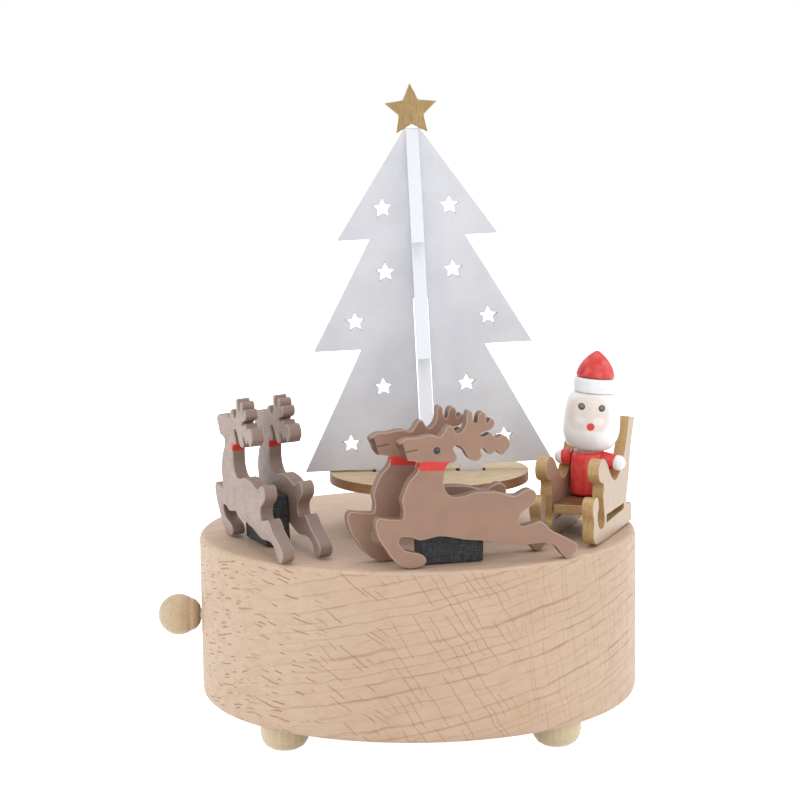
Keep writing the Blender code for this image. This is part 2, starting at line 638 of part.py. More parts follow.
def make_winding():
    """Knob and arbor, which turn about the arbor's axis, and the bush in the wall."""
    axis = axis_empty("winding_axis", (0, 0, ARBOR_Z), (0, math.pi / 2, 0))
    neck_top = -BASE_RADIUS - WALL_GAP_AT_KNOB
    neck_angle = 38
    ball = arc((0, KNOB_X), KNOB_BALL_RADIUS, neck_angle, -90, 9)
    flare_z = KNOB_X + KNOB_BALL_RADIUS * math.sin(math.radians(neck_angle))
    flare_r = KNOB_BALL_RADIUS * math.cos(math.radians(neck_angle))
    neck = []
    for step in range(4):
        share = step / 4
        bend = (1 - share) ** 2
        neck.append((flare_r * (1 - bend) + KNOB_NECK_RADIUS * bend if share else KNOB_NECK_RADIUS,
                     neck_top + (flare_z - neck_top) * share))
    body = turned_mesh("knob_body", [(0, neck_top)] + neck + ball[:-1] + [(0, KNOB_X - KNOB_BALL_RADIUS)], 24)
    socket = rod_mesh("socket", ARBOR_RADIUS + GAP, neck_top - KNOB_SOCKET_DEPTH, neck_top + 0.001, 16)
    knob = joined_mesh("winding_knob", body, cuts=[socket])
    shade(knob)
    place(bpy.data.objects.new("winding_knob", knob), PALE_WOOD, axis)
    arbor = rod_mesh("winding_arbor", ARBOR_RADIUS, neck_top - KNOB_SOCKET_DEPTH + GAP,
                     BARREL_FRONT_X - GAP, 20)
    shade(arbor)
    place(bpy.data.objects.new("winding_arbor", arbor), STEEL, axis)
    bush_low = -BASE_RADIUS + 0.0005
    bush = joined_mesh(
        "arbor_bush",
        rod_mesh("arbor_bush_body", ARBOR_BUSH_RADIUS, bush_low, -BASE_RADIUS + ARBOR_BUSH_LENGTH, 24),
        cuts=[rod_mesh("arbor_bush_bore", ARBOR_RADIUS + RUNNING_GAP, bush_low - 0.001, 0, 20)])
    shade(bush)
    place(bpy.data.objects.new("arbor_bush", bush), BRASS, axis)


# Spring barrel

def make_barrel():
    """Barrel with crown teeth, its cap and the mainspring; all turn about the arbor's axis."""
    axis = axis_empty("barrel_axis", (0, 0, ARBOR_Z))
    inner = BARREL_RADIUS - BARREL_WALL
    body = rod_mesh("barrel_body", BARREL_RADIUS, BARREL_BACK_X, BARREL_FRONT_X, 36, "X")
    room = rod_mesh("barrel_room", inner, BARREL_BACK_X - 0.001, BARREL_FRONT_X - BARREL_WALL, 36, "X")
    bore = rod_mesh("barrel_bore", ARBOR_RADIUS + RUNNING_GAP, BARREL_FRONT_X - 0.003,
                    BARREL_FRONT_X + 0.001, 20, "X")
    tooth = box_mesh("crown_tooth", (BARREL_FRONT_X - BARREL_WALL / 2, -TOOTH_WIDTH / 2, CROWN_TOOTH_INNER),
                     (BARREL_FRONT_X + CROWN_TOOTH_HEIGHT, TOOTH_WIDTH / 2, BARREL_RADIUS - 0.0001))
    pitch = 2 * math.pi / CROWN_TEETH
    teeth = [moved_mesh(tooth, turn=math.pi + pitch * (n + 0.5), axis="X") for n in range(CROWN_TEETH)]
    mesh = joined_mesh("spring_barrel", body, teeth, [room, bore])
    shade(mesh)
    place(bpy.data.objects.new("spring_barrel", mesh), BRASS, axis)
    cap = joined_mesh("barrel_cap",
                      rod_mesh("cap_body", inner - GAP, BARREL_BACK_X, BARREL_BACK_X + CAP_THICKNESS, 32, "X"),
                      cuts=[rod_mesh("cap_bore", ARBOR_RADIUS + RUNNING_GAP, BARREL_BACK_X - 0.001,
                                     BARREL_BACK_X + 0.003, 20, "X")])
    shade(cap)
    place(bpy.data.objects.new("barrel_cap", cap), BRASS, axis)
    make_mainspring(axis)


def make_mainspring(axis):
    """Flat spiral strip between the arbor and the barrel wall."""
    back = BARREL_BACK_X + CAP_THICKNESS + 2 * GAP
    front = BARREL_FRONT_X - BARREL_WALL - 2 * GAP
    steps = SPRING_TURNS * 14
    vertices = []
    for step in range(steps + 1):
        share = step / steps
        angle = 2 * math.pi * SPRING_TURNS * share
        reach = SPRING_INNER + (SPRING_OUTER - SPRING_INNER) * share
        for x in (back, front):
            vertices.append((x, reach * math.cos(angle), reach * math.sin(angle)))
    faces = [(2 * i, 2 * i + 1, 2 * i + 3, 2 * i + 2) for i in range(steps)]
    strip = bpy.data.meshes.new("mainspring_strip")
    strip.from_pydata(vertices, [], faces)
    holder = bpy.data.objects.new("mainspring_strip", strip)
    CUTTERS.objects.link(holder)
    solid = holder.modifiers.new("Thickness", "SOLIDIFY")
    solid.thickness = SPRING_STRIP
    solid.offset = 0
    mesh = baked_mesh(holder, "mainspring")
    bpy.data.objects.remove(holder)
    shade(mesh)
    place(bpy.data.objects.new("mainspring", mesh), STEEL, axis)


# Movement frame, comb and screws

def make_bedplate():
    """Upright bedplate against the cavity's flat wall, with its two screws and the lower bridge."""
    plate = box_mesh("bedplate_body", (PLATE_BACK_X, -PLATE_HALF_WIDTH, PLATE_BOTTOM),
                     (PLATE_FRONT_X, PLATE_HALF_WIDTH, PLATE_TOP))
    bore = moved_mesh(rod_mesh("bedplate_bore", ARBOR_RADIUS + RUNNING_GAP, PLATE_BACK_X - 0.001,
                               PLATE_FRONT_X + 0.001, 20, "X"), (0, 0, ARBOR_Z))
    holes = [moved_mesh(rod_mesh("bedplate_hole", SCREW_SHANK + GAP, PLATE_BACK_X - 0.001,
                                 PLATE_FRONT_X + 0.001, 12, "X"), (0, y, z))
             for y, z in plate_screw_places()]
    mesh = joined_mesh("movement_bedplate", plate, cuts=[bore] + holes)
    shade(mesh)
    place(bpy.data.objects.new("movement_bedplate", mesh), STEEL)
    screw = screw_mesh("bedplate_screw", SCREW_SHANK, SCREW_HEAD, SCREW_HEAD_HEIGHT, 0.0085)
    shade(screw)
    for number, (y, z) in enumerate(plate_screw_places(), 1):
        place(bpy.data.objects.new(f"bedplate_screw_{number}", screw), STEEL, None,
              (ON_PLATE_X, y, z), (0, math.pi / 2, 0))
    make_lower_bridge()


def make_lower_bridge():
    """Angle bracket on the bedplate that carries the foot of the spindle."""
    bottom = SPINDLE_BOTTOM - 0.0002
    arm = box_mesh("bridge_arm", (ON_PLATE_X, -BRIDGE_HALF_WIDTH, bottom),
                   (TURNTABLE_X + BRIDGE_HALF_WIDTH, BRIDGE_HALF_WIDTH, bottom + BRIDGE_THICKNESS))
    flange_top = ARBOR_Z - ARBOR_RADIUS - 0.004
    flange = box_mesh("bridge_flange", (ON_PLATE_X, -BRIDGE_HALF_WIDTH, bottom),
                      (ON_PLATE_X + BRIDGE_THICKNESS, BRIDGE_HALF_WIDTH, flange_top))
    bore = moved_mesh(rod_mesh("bridge_bore", SPINDLE_RADIUS + RUNNING_GAP, 0, CYLINDER_BOTTOM, 20),
                      (TURNTABLE_X, 0, 0))
    mesh = joined_mesh("lower_bridge", arm, [flange], [bore])
    place(bpy.data.objects.new("lower_bridge", mesh), STEEL)


def comb_tip_y():
    """Where the comb's tips stop, just clear of the cylinder's pins."""
    return -(CYLINDER_RADIUS + PIN_LENGTH + COMB_TIP_GAP)


def comb_root_y():
    """Where the comb's root ends, just inside the bedplate's end."""
    return COMB_ROOT_INSET - PLATE_HALF_WIDTH


def comb_screw_places():
    """Comb screws, in y and z."""
    y = comb_root_y() + COMB_ROOT / 2
    middle = (CYLINDER_BOTTOM + CYLINDER_TOP) / 2
    return ((y, middle - 0.005), (y, middle + 0.005))


def make_comb():
    """Steel comb beside the cylinder, the block that carries it and its two screws."""
    tip = comb_tip_y()
    root = comb_root_y()
    middle = (CYLINDER_BOTTOM + CYLINDER_TOP) / 2
    half = (CYLINDER_TOP - CYLINDER_BOTTOM) / 2 - COMB_MARGIN
    block_half = half + COMB_BLOCK_RIM
    pitch = 2 * half / COMB_TEETH
    outline = [(root, middle - half), (root, middle + half)]
    for number in range(COMB_TEETH):
        top = middle + half - pitch * number
        bottom = top - pitch * COMB_TOOTH_SHARE
        inner = root + COMB_ROOT + 0.004 * number / COMB_TEETH
        outline += [(tip, top), (tip, bottom)]
        if number < COMB_TEETH - 1:
            outline += [(inner, bottom), (inner, top - pitch)]
    outline[-1] = (tip, middle - half)
    holes = [[(y + u, z + v) for u, v in ring_places(12, SCREW_SHANK + GAP)]
             for y, z in comb_screw_places()]
    mesh = plate_mesh("comb", [outline] + holes, COMB_THICKNESS)
    front = TURNTABLE_X + COMB_THICKNESS / 2
    place(bpy.data.objects.new("comb", mesh), STEEL, None, (front, 0, 0), (0, 0, math.pi / 2))
    block_front = front - COMB_THICKNESS - GAP
    block = box_mesh("comb_block_body", (ON_PLATE_X, root, middle - block_half),
                     (block_front, root + COMB_ROOT - 0.0005, middle + block_half))
    bores = [moved_mesh(rod_mesh("comb_block_bore", SCREW_SHANK + GAP, block_front - 0.006,
                                 block_front + 0.001, 12, "X"), (0, y, z))
             for y, z in comb_screw_places()]
    block_mesh = joined_mesh("comb_block", block, cuts=bores)
    place(bpy.data.objects.new("comb_block", block_mesh), BRASS)
    screw = screw_mesh("comb_screw", SCREW_SHANK, SCREW_HEAD, SCREW_HEAD_HEIGHT, 0.0065)
    shade(screw)
    for number, (y, z) in enumerate(comb_screw_places(), 1):
        place(bpy.data.objects.new(f"comb_screw_{number}", screw), STEEL, None,
              (front + GAP, y, z), (0, math.pi / 2, 0))


# Turntable: spindle, cylinder, gears, disc, tree and star

def make_spindle(axis):
    """Spindle with a thrust shoulder, its bush in the base top and the hub under the disc."""
    shoulder_low = SPINDLE_BOTTOM - 0.0002 + BRIDGE_THICKNESS + GAP
    shoulder_high = pinion_bottom() - GAP
    top = DISC_TOP - 0.0003
    profile = [(0, top), (SPINDLE_RADIUS, top), (SPINDLE_RADIUS, shoulder_high),
               (SHOULDER_RADIUS, shoulder_high), (SHOULDER_RADIUS, shoulder_low),
               (SPINDLE_RADIUS, shoulder_low), (SPINDLE_RADIUS, SPINDLE_BOTTOM), (0, SPINDLE_BOTTOM)]
    spindle = turned_mesh("spindle", profile, 20)
    shade(spindle)
    place(bpy.data.objects.new("spindle", spindle), STEEL, axis)
    bush = tube_of("spindle_bush", SPINDLE_BUSH_RADIUS, SPINDLE_RADIUS + RUNNING_GAP, CAVITY_TOP,
                   BASE_HEIGHT)
    place(bpy.data.objects.new("spindle_bush", bush), BRASS, None, (TURNTABLE_X, 0, 0))
    hub = tube_of("disc_hub", HUB_RADIUS, SPINDLE_RADIUS + GAP, DISC_BOTTOM - GAP - HUB_HEIGHT,
                  DISC_BOTTOM - GAP)
    place(bpy.data.objects.new("disc_hub", hub), PALE_WOOD, axis)


def tube_of(name, outer, bore, low, high):
    """Plain sleeve about Z."""
    body = rod_mesh(name + "_body", outer, low, high, 28)
    mesh = joined_mesh(name, body, cuts=[rod_mesh(name + "_bore", bore, low - 0.001, high + 0.001, 20)])
    shade(mesh)
    return mesh


def pinion_bottom():
    """Underside of the pinion, level with the lowest crown teeth."""
    return ARBOR_Z - BARREL_RADIUS + 0.0001


def make_cylinder(axis):
    """Pinned cylinder, the pinion in mesh with the crown and the gear that drives the governor."""
    body = rod_mesh("cylinder_body", CYLINDER_RADIUS, CYLINDER_BOTTOM, CYLINDER_TOP, 36)
    half = (CYLINDER_TOP - CYLINDER_BOTTOM) / 2 - 0.0006
    pitch = 2 * half / PIN_ROWS
    pins = []
    for row in range(PIN_ROWS):
        height = CYLINDER_TOP - 0.0006 - pitch * (row + COMB_TOOTH_SHARE / 2)
        for beat in range(PINS_PER_ROW):
            angle = math.radians(40 + (row * 137.5 + beat * 151.0) % 360)
            pin = rod_mesh("pin", PIN_RADIUS, CYLINDER_RADIUS - 0.0003, CYLINDER_RADIUS + PIN_LENGTH, 4, "X")
            pins.append(moved_mesh(moved_mesh(pin, turn=angle), (0, 0, height)))
    bore = rod_mesh("cylinder_bore", SPINDLE_RADIUS + GAP, 0, BASE_HEIGHT, 20)
    cylinder = joined_mesh("pinned_cylinder", body, pins, [bore])
    shade(cylinder)
    place(bpy.data.objects.new("pinned_cylinder", cylinder), BRASS, axis)
    bore_outline = ring_places(20, SPINDLE_RADIUS + GAP)
    pinion = flat_disc_mesh(
        "cylinder_pinion",
        gear_outline(PINION_TEETH, PINION_ROOT, PINION_OUTER, TOOTH_WIDTH, 0.8, math.pi),
        [bore_outline], pinion_bottom(), pinion_bottom() + PINION_THICKNESS)
    place(bpy.data.objects.new("cylinder_pinion", pinion), BRASS, axis)
    gear = flat_disc_mesh(
        "cylinder_gear",
        gear_outline(GEAR_TEETH, GEAR_PITCH - 1.2 * GEAR_MODULE, GEAR_PITCH + 0.7 * GEAR_MODULE,
                     GEAR_MODULE * 1.25, 0.5, math.pi / 2),
        [bore_outline], GEAR_BOTTOM, GEAR_BOTTOM + GEAR_THICKNESS)
    place(bpy.data.objects.new("cylinder_gear", gear), BRASS, axis)


def slot_outline(inner, outer, half_width):
    """Rectangle along X between two distances from the axis."""
    return [(inner, -half_width), (outer, -half_width), (outer, half_width), (inner, half_width)]


def make_disc(axis):
    """Turntable disc with a bore and four tenon slots."""
    low, high = TENON_INNER - SLOT_GAP * 3, TENON_OUTER + SLOT_GAP * 3
    half = PANEL_THICKNESS / 2 + SLOT_GAP * 1.5
    slots = []
    for start, end in ((low, high), (-high, -low)):
        along = slot_outline(start, end, half)
        slots.append(along)
        slots.append([(-y, x) for x, y in along])
    outline = ring_places(80, DISC_RADIUS)
    bore = ring_places(20, SPINDLE_RADIUS + GAP)
    mesh = flat_disc_mesh("turntable_disc", outline, [bore] + slots, DISC_BOTTOM, DISC_TOP)
    shade(mesh)
    place(bpy.data.objects.new("turntable_disc", mesh), PLYWOOD, axis)


def half_tree(notched_from_top):
    """One half of a panel's outline, from the apex out and down to the slot, in x and height."""
    apex = TREE_HEIGHT
    points = [(TIP_HALF_WIDTHS[0], apex)]
    for tier in range(3):
        height = apex - TIP_DROPS[tier + 1]
        points.append((TIP_HALF_WIDTHS[tier + 1], height))
        if tier < 2:
            points.append((NOTCH_HALF_WIDTHS[tier], height))
    points += [(TENON_OUTER, 0), (TENON_OUTER, -TENON_DEPTH), (TENON_INNER, -TENON_DEPTH), (TENON_INNER, 0)]
    slot = PANEL_THICKNESS / 2 + SLOT_GAP
    middle = TREE_HEIGHT / 2
    if notched_from_top:
        return [(slot, apex - slot_apex_drop(slot)), *points[1:]], middle - SLOT_GAP
    return points + [(slot, 0), (slot, middle + SLOT_GAP)], None


def slot_apex_drop(offset):
    """How far the tree's edge lies below its apex at an offset from the axis."""
    width = TIP_HALF_WIDTHS[1] - TIP_HALF_WIDTHS[0]
    return max(0.0, offset - TIP_HALF_WIDTHS[0]) * TIP_DROPS[1] / width


def panel_outline(notched_from_top):
    """Whole outline of a tree panel with its halving slot."""
    right, slot_floor = half_tree(notched_from_top)
    left = [(-x, z) for x, z in reversed(right)]
    if notched_from_top:
        slot = right[0][0]
        return [(slot, slot_floor)] + right + left + [(-slot, slot_floor)]
    return right + left


def make_tree(axis):
    """Two cross-halved panels and the star, leaning together above the disc."""
    frame = axis_empty("tree_frame", (0, 0, DISC_TOP + TREE_LIFT), (0, -TREE_LEAN, 0), axis)
    holes = []
    for out, drop in HOLE_PLACES:
        for side in (-1, 1):
            holes.append(star_outline((side * out, TREE_HEIGHT - drop), HOLE_RADIUS))
    for name, from_top, turn in (("tree_panel_wide", False, 0), ("tree_panel_deep", True, math.pi / 2)):
        mesh = plate_mesh(name, [panel_outline(from_top)] + holes, PANEL_THICKNESS)
        mesh = moved_mesh(mesh, (0, -PANEL_THICKNESS / 2, 0))
        place(bpy.data.objects.new(name, mesh), WHITE_PAINT, frame, (0, 0, 0), (0, 0, turn))
    centre = TREE_HEIGHT + STAR_RISE
    star = plate_mesh("star_body", [star_outline((0, centre), STAR_RADIUS)], STAR_THICKNESS)
    star = moved_mesh(star, (0, -STAR_THICKNESS / 2, 0))
    apex = TIP_HALF_WIDTHS[0] + GAP
    spread = TIP_HALF_WIDTHS[1] + GAP
    seat_outline = [(apex, TREE_HEIGHT + GAP), (spread, TREE_HEIGHT + GAP - TIP_DROPS[1]),
                    (-spread, TREE_HEIGHT + GAP - TIP_DROPS[1]), (-apex, TREE_HEIGHT + GAP)]
    seat = moved_mesh(plate_mesh("star_seat", [seat_outline], 0.02), (0, -0.01, 0))
    star = joined_mesh("tree_star", star, cuts=[seat])
    place(bpy.data.objects.new("tree_star", star), GOLD_PAINT, frame)


def make_turntable():
    """Everything that turns about the spindle's axis."""
    axis = axis_empty("turntable_axis", (TURNTABLE_X, 0, 0))
    make_spindle(axis)
    make_cylinder(axis)
    make_disc(axis)
    make_tree(axis)


# Governor

def make_governor():
    """Wheel driven by the cylinder's gear, the worm it drives and the fan that slows them."""
    axis = axis_empty("governor_axis", (TURNTABLE_X, GOVERNOR_Y, 0))
    pinion_low = GEAR_BOTTOM - 0.0002
    pinion_high = GEAR_BOTTOM + GEAR_THICKNESS + 0.0002
    tip = GOVERNOR_PINION_PITCH + 0.7 * GEAR_MODULE
    root = GOVERNOR_PINION_PITCH - 1.2 * GEAR_MODULE
    gap_phase = -math.pi / 2 + math.pi / GOVERNOR_PINION_TEETH
    pinion = flat_disc_mesh("governor_pinion",
                            gear_outline(GOVERNOR_PINION_TEETH, root, tip, GEAR_MODULE * 1.25, 0.5, gap_phase),
                            [], pinion_low, pinion_high)
    wheel = flat_disc_mesh("governor_rim",
                           gear_outline(GOVERNOR_WHEEL_TEETH, GOVERNOR_WHEEL_PITCH - GEAR_MODULE, WHEEL_TIP,
                                        GEAR_MODULE * 1.2, 0.6, math.pi / 2),
                           [], GOVERNOR_WHEEL_Z, GOVERNOR_WHEEL_Z + GOVERNOR_WHEEL_THICKNESS)
    low, high = governor_arm_heights()
    arbor = rod_mesh("governor_arbor", GOVERNOR_ARBOR_RADIUS, low - FRAME_THICKNESS / 2,
                     high + FRAME_THICKNESS / 2, 12)
    mesh = joined_mesh("governor_wheel", arbor, [pinion, wheel])
    place(bpy.data.objects.new("governor_wheel", mesh), BRASS, axis)
    make_worm()
    make_governor_frame()


def governor_arm_heights():
    """Top face of the lower arm and bottom face of the upper arm."""
    return GOVERNOR_WHEEL_Z - 0.0028, GEAR_BOTTOM + GEAR_THICKNESS + 0.0005


def make_worm():
    """Worm shaft with its thread, and the fan on it; both turn about the worm's axis."""
    axis = axis_empty("worm_axis", (TURNTABLE_X, WORM_Y, WORM_Z))
    back = CHEEK_BACK_X - TURNTABLE_X
    front = CHEEK_FRONT_X - TURNTABLE_X
    shaft = rod_mesh("worm_shaft", GOVERNOR_ARBOR_RADIUS, back - FRAME_THICKNESS / 2,
                     front + FRAME_THICKNESS / 2, 12, "X")
    lead = WORM_STARTS * WORM_PITCH
    core = rod_mesh("worm_core", WORM_ROOT, -lead / 2 - 0.0004, lead / 2 + 0.0004, 12, "X")
    threads = []
    for start in range(WORM_STARTS):
        helix = []
        for step in range(WORM_STEPS + 1):
            x = lead * (step / WORM_STEPS - 0.5)
            angle = 2 * math.pi * (x / lead + (start - 1.5) / WORM_STARTS)
            helix.append((x, WORM_ROOT * math.sin(angle), WORM_ROOT * math.cos(angle)))
        threads.append(tube_mesh("worm_thread", helix, WORM_THREAD))
    mesh = joined_mesh("governor_worm", shaft, [core] + threads)
    place(bpy.data.objects.new("governor_worm", mesh), STEEL, axis)
    fan_low = front - FRAME_THICKNESS / 2 - 0.0006 - FAN_LENGTH
    blade = box_mesh("fan_blade", (fan_low, -FAN_THICKNESS / 2, -FAN_HALF_HEIGHT),
                     (fan_low + FAN_LENGTH, FAN_THICKNESS / 2, FAN_HALF_HEIGHT))
    boss = rod_mesh("fan_boss", GOVERNOR_ARBOR_RADIUS + 0.0009, fan_low, fan_low + FAN_LENGTH, 12, "X")
    bore = rod_mesh("fan_bore", GOVERNOR_ARBOR_RADIUS + GAP, fan_low - 0.001, fan_low + FAN_LENGTH + 0.001,
                    12, "X")
    fan = joined_mesh("governor_fan", blade, [boss], [bore])
    place(bpy.data.objects.new("governor_fan", fan), BRASS, axis)


def make_governor_frame():
    """Bent frame with two cheeks for the worm and two arms for the wheel, screwed to the bedplate."""
    low_arm, high_arm = governor_arm_heights()
    top = high_arm + FRAME_THICKNESS
    bottom = low_arm - FRAME_THICKNESS
    back_plate = box_mesh("frame_back", (ON_PLATE_X, FRAME_Y, bottom),
                          (CHEEK_FRONT_X + FRAME_THICKNESS / 2, FRAME_Y + FRAME_THICKNESS, top))
    pieces = []
    for x in (CHEEK_BACK_X, CHEEK_FRONT_X):
        pieces.append(box_mesh("cheek", (x - FRAME_THICKNESS / 2, WORM_Y - 0.002, WORM_Z - 0.003),
                               (x + FRAME_THICKNESS / 2, FRAME_Y + FRAME_THICKNESS / 2, WORM_Z + 0.003)))
    for z in (low_arm - FRAME_THICKNESS, high_arm):
        pieces.append(box_mesh("arm", (TURNTABLE_X - 0.002, GOVERNOR_Y - 0.002, z),
                               (TURNTABLE_X + 0.002, FRAME_Y + FRAME_THICKNESS / 2, z + FRAME_THICKNESS)))
    flange_y = FRAME_Y - 0.0065
    pieces.append(box_mesh("flange", (ON_PLATE_X, flange_y, bottom),
                           (ON_PLATE_X + FRAME_THICKNESS, FRAME_Y + FRAME_THICKNESS / 2, top)))
    bores = [moved_mesh(rod_mesh("worm_bore", GOVERNOR_ARBOR_RADIUS + RUNNING_GAP, CHEEK_BACK_X - 0.002,
                                 CHEEK_FRONT_X + 0.002, 12, "X"), (0, WORM_Y, WORM_Z)),
             moved_mesh(rod_mesh("wheel_bore", GOVERNOR_ARBOR_RADIUS + RUNNING_GAP, bottom - 0.001,
                                 top + 0.001, 12), (TURNTABLE_X, GOVERNOR_Y, 0))]
    screw_y, screw_z = flange_y + 0.003, (bottom + top) / 2
    bores.append(moved_mesh(rod_mesh("flange_bore", SCREW_SHANK + GAP, ON_PLATE_X - 0.001,
                                     ON_PLATE_X + 0.003, 12, "X"), (0, screw_y, screw_z)))
    mesh = joined_mesh("governor_frame", back_plate, pieces, bores)
    place(bpy.data.objects.new("governor_frame", mesh), STEEL)
    length = FRAME_THICKNESS + GAP
    screw = screw_mesh("governor_screw", SCREW_SHANK, SCREW_HEAD, SCREW_HEAD_HEIGHT, length)
    shade(screw)
    place(bpy.data.objects.new("governor_screw", screw), STEEL, None,
          (ON_PLATE_X + FRAME_THICKNESS + GAP, screw_y, screw_z), (0, math.pi / 2, 0))


# Deer pairs

def base_top_place(inset, bearing):
    """Point just above the base top, by its inset from the side and its bearing in degrees."""
    reach = BASE_RADIUS - inset
    angle = math.radians(bearing)
    return (reach * math.cos(angle), reach * math.sin(angle), BASE_HEIGHT + GAP)


def deer_mesh():
    """Leaping deer cut from a flat plate, feet on z = 0, nose towards -X."""
    length = max(x for x, _ in DEER_OUTLINE) - min(x for x, _ in DEER_OUTLINE)
    floor = min(z for _, z in DEER_OUTLINE)
    scale = DEER_LENGTH / length
    outline = [(x * scale, (z - floor) * scale) for x, z in DEER_OUTLINE]
    mesh = plate_mesh("deer", [outline], DEER_THICKNESS, DEER_STEP_COUNT)
    lowest = min(vertex.co.z for vertex in mesh.vertices)
    mesh = moved_mesh(mesh, (0, 0, -lowest))
    shade(mesh, math.radians(30))
    return mesh


def make_deer_pairs():
    """Two pairs of deer, each glued to the sides of a block that stands on the base."""
    mesh = deer_mesh()
    for pair, (spot, turn, stagger, lean) in DEER_PAIRS.items():
        frame = axis_empty(f"{pair}_pair_frame", base_top_place(*spot), (0, 0, turn))
        block_y = DEER_THICKNESS / math.cos(lean) + GAP
        inner_y = block_y + BLOCK_WIDTH + GAP
        tilt = (lean, 0, 0)
        place(bpy.data.objects.new(f"{pair}_deer_outer", mesh), BROWN_PAINT, frame, (0, 0, 0), tilt)
        place(bpy.data.objects.new(f"{pair}_deer_inner", mesh), BROWN_PAINT, frame, (-stagger, inner_y, 0), tilt)
        block = box_mesh(f"{pair}_deer_block", (BLOCK_REACH, block_y, 0),
                         (BLOCK_REACH + BLOCK_LENGTH, block_y + BLOCK_WIDTH, BLOCK_HEIGHT))
        for vertex in block.vertices:
            vertex.co.y -= vertex.co.z * math.tan(lean)
        place(bpy.data.objects.new(f"{pair}_deer_block", block), BLACK_PAINT, frame)


# Sleigh and doll

def sleigh_side_mesh():
    """Side panel with its runner, scrolls and high back."""
    scale = RUNNER_LENGTH / max(x for x, z in SIDE_OUTLINE if z == 0)
    outline = [(x * scale, z * scale) for x, z in SIDE_OUTLINE]
    slot = [(x * scale, z * scale) for x, z in SIDE_SLOT]
    mesh = plate_mesh("sleigh_side", [outline, slot], SLEIGH_SIDE_THICKNESS, SIDE_STEP_COUNT, (0, 9, 10))
    lowest = min(vertex.co.z for vertex in mesh.vertices)
    mesh = moved_mesh(mesh, (0, 0, -lowest))
    shade(mesh, math.radians(30))
    return mesh


def make_sleigh():
    """Sleigh of two side panels, a seat plank and a block behind the doll."""
    frame = axis_empty("sleigh_frame", base_top_place(*SLEIGH_PLACE), (0, 0, SLEIGH_TURN))
    mesh = sleigh_side_mesh()
    place(bpy.data.objects.new("sleigh_side_outer", mesh), GOLD_PAINT, frame)
    place(bpy.data.objects.new("sleigh_side_inner", mesh), GOLD_PAINT, frame, (0, SLEIGH_SPACING, 0))
    low_y = SLEIGH_SIDE_THICKNESS + GAP
    high_y = SLEIGH_SPACING - GAP
    seat = box_mesh("sleigh_seat", (SEAT_FRONT, low_y, SEAT_TOP - SEAT_THICKNESS), (SEAT_REAR, high_y, SEAT_TOP))
    seat_object = place(bpy.data.objects.new("sleigh_seat", seat), GOLD_PAINT, frame)
    soften = seat_object.modifiers.new("Edge", "BEVEL")
    soften.width = 0.0003
    soften.segments = 2
    block_low = SEAT_REAR - BACK_BLOCK_THICKNESS
    block = box_mesh("seat_block", (block_low, low_y, SEAT_TOP + GAP),
                     (SEAT_REAR, high_y, SEAT_TOP + GAP + BACK_BLOCK_HEIGHT))
    place(bpy.data.objects.new("seat_block", block), BLACK_PAINT, frame)
    centre_y = (SLEIGH_SIDE_THICKNESS + SLEIGH_SPACING) / 2
    doll_along = block_low - GAP - DOLL_BODY_RADIUS
    make_doll(frame, (doll_along, centre_y, SEAT_TOP + GAP))


def make_doll(frame, place_in_sleigh):
    """Seated turned doll, its own frame turned back square to the viewer."""
    doll = axis_empty("doll_frame", place_in_sleigh, (0, 0, -SLEIGH_TURN), frame)
    edge = 0.0007
    profile = [(0, DOLL_BODY_HEIGHT), (DOLL_SHOULDER_RADIUS - 2 * edge, DOLL_BODY_HEIGHT)]
    profile += [(DOLL_SHOULDER_RADIUS - edge / 2, DOLL_BODY_HEIGHT - edge / 2)]
    profile += [(DOLL_SHOULDER_RADIUS + edge / 2, DOLL_BODY_HEIGHT - 3 * edge)]
    profile += [(DOLL_BODY_RADIUS, edge), (DOLL_BODY_RADIUS - edge / 2, 0), (0, 0)]
    body = turned_mesh("doll_body", profile, 28)
    shade(body)
    place(bpy.data.objects.new("doll_body", body), RED_PAINT, doll)
    make_doll_arms(doll)
    make_doll_head(doll)


def make_doll_arms(doll):
    """Arms that meet the body along its own round side, each cupping a ball hand."""
    taper = (DOLL_BODY_RADIUS - DOLL_SHOULDER_RADIUS) / DOLL_BODY_HEIGHT
    reach = DOLL_BODY_HEIGHT
    room = rod_mesh("shoulder_room", DOLL_BODY_RADIUS + GAP + taper * reach, -reach, 2 * reach, 28,
                    radius_high=DOLL_SHOULDER_RADIUS + GAP - taper * reach)
    shoulder = Vector((0, 0, SHOULDER_HEIGHT))
    for side, (hand_place, hand_radius) in HANDS.items():
        centre = Vector(hand_place)
        direction = centre - shoulder
        arm = rod_mesh("arm_body", ARM_RADIUS, 0, direction.length - SLEEVE_LAP, 18,
                       radius_high=ARM_RADIUS * 1.08)
        turn = direction.to_track_quat("Z", "Y").to_matrix().to_4x4()
        turn.translation = shoulder
        arm.transform(turn)
        cup = moved_mesh(ball_mesh("cup", hand_radius + HAND_GAP), centre)
        arm = joined_mesh(f"doll_arm_{side}", arm, cuts=[room, cup])
        shade(arm)
        place(bpy.data.objects.new(f"doll_arm_{side}", arm), RED_PAINT, doll)
        hand = ball_mesh(f"doll_hand_{side}", hand_radius)
        shade(hand)
        place(bpy.data.objects.new(f"doll_hand_{side}", hand), HEAD_PAINT, doll, centre)


def ball_mesh(name, radius):
    """Round ball about the origin."""
    made = bmesh.new()
    bmesh.ops.create_uvsphere(made, u_segments=14, v_segments=9, radius=radius)
    mesh = bpy.data.meshes.new(name)
    made.to_mesh(mesh)
    made.free()
    return mesh


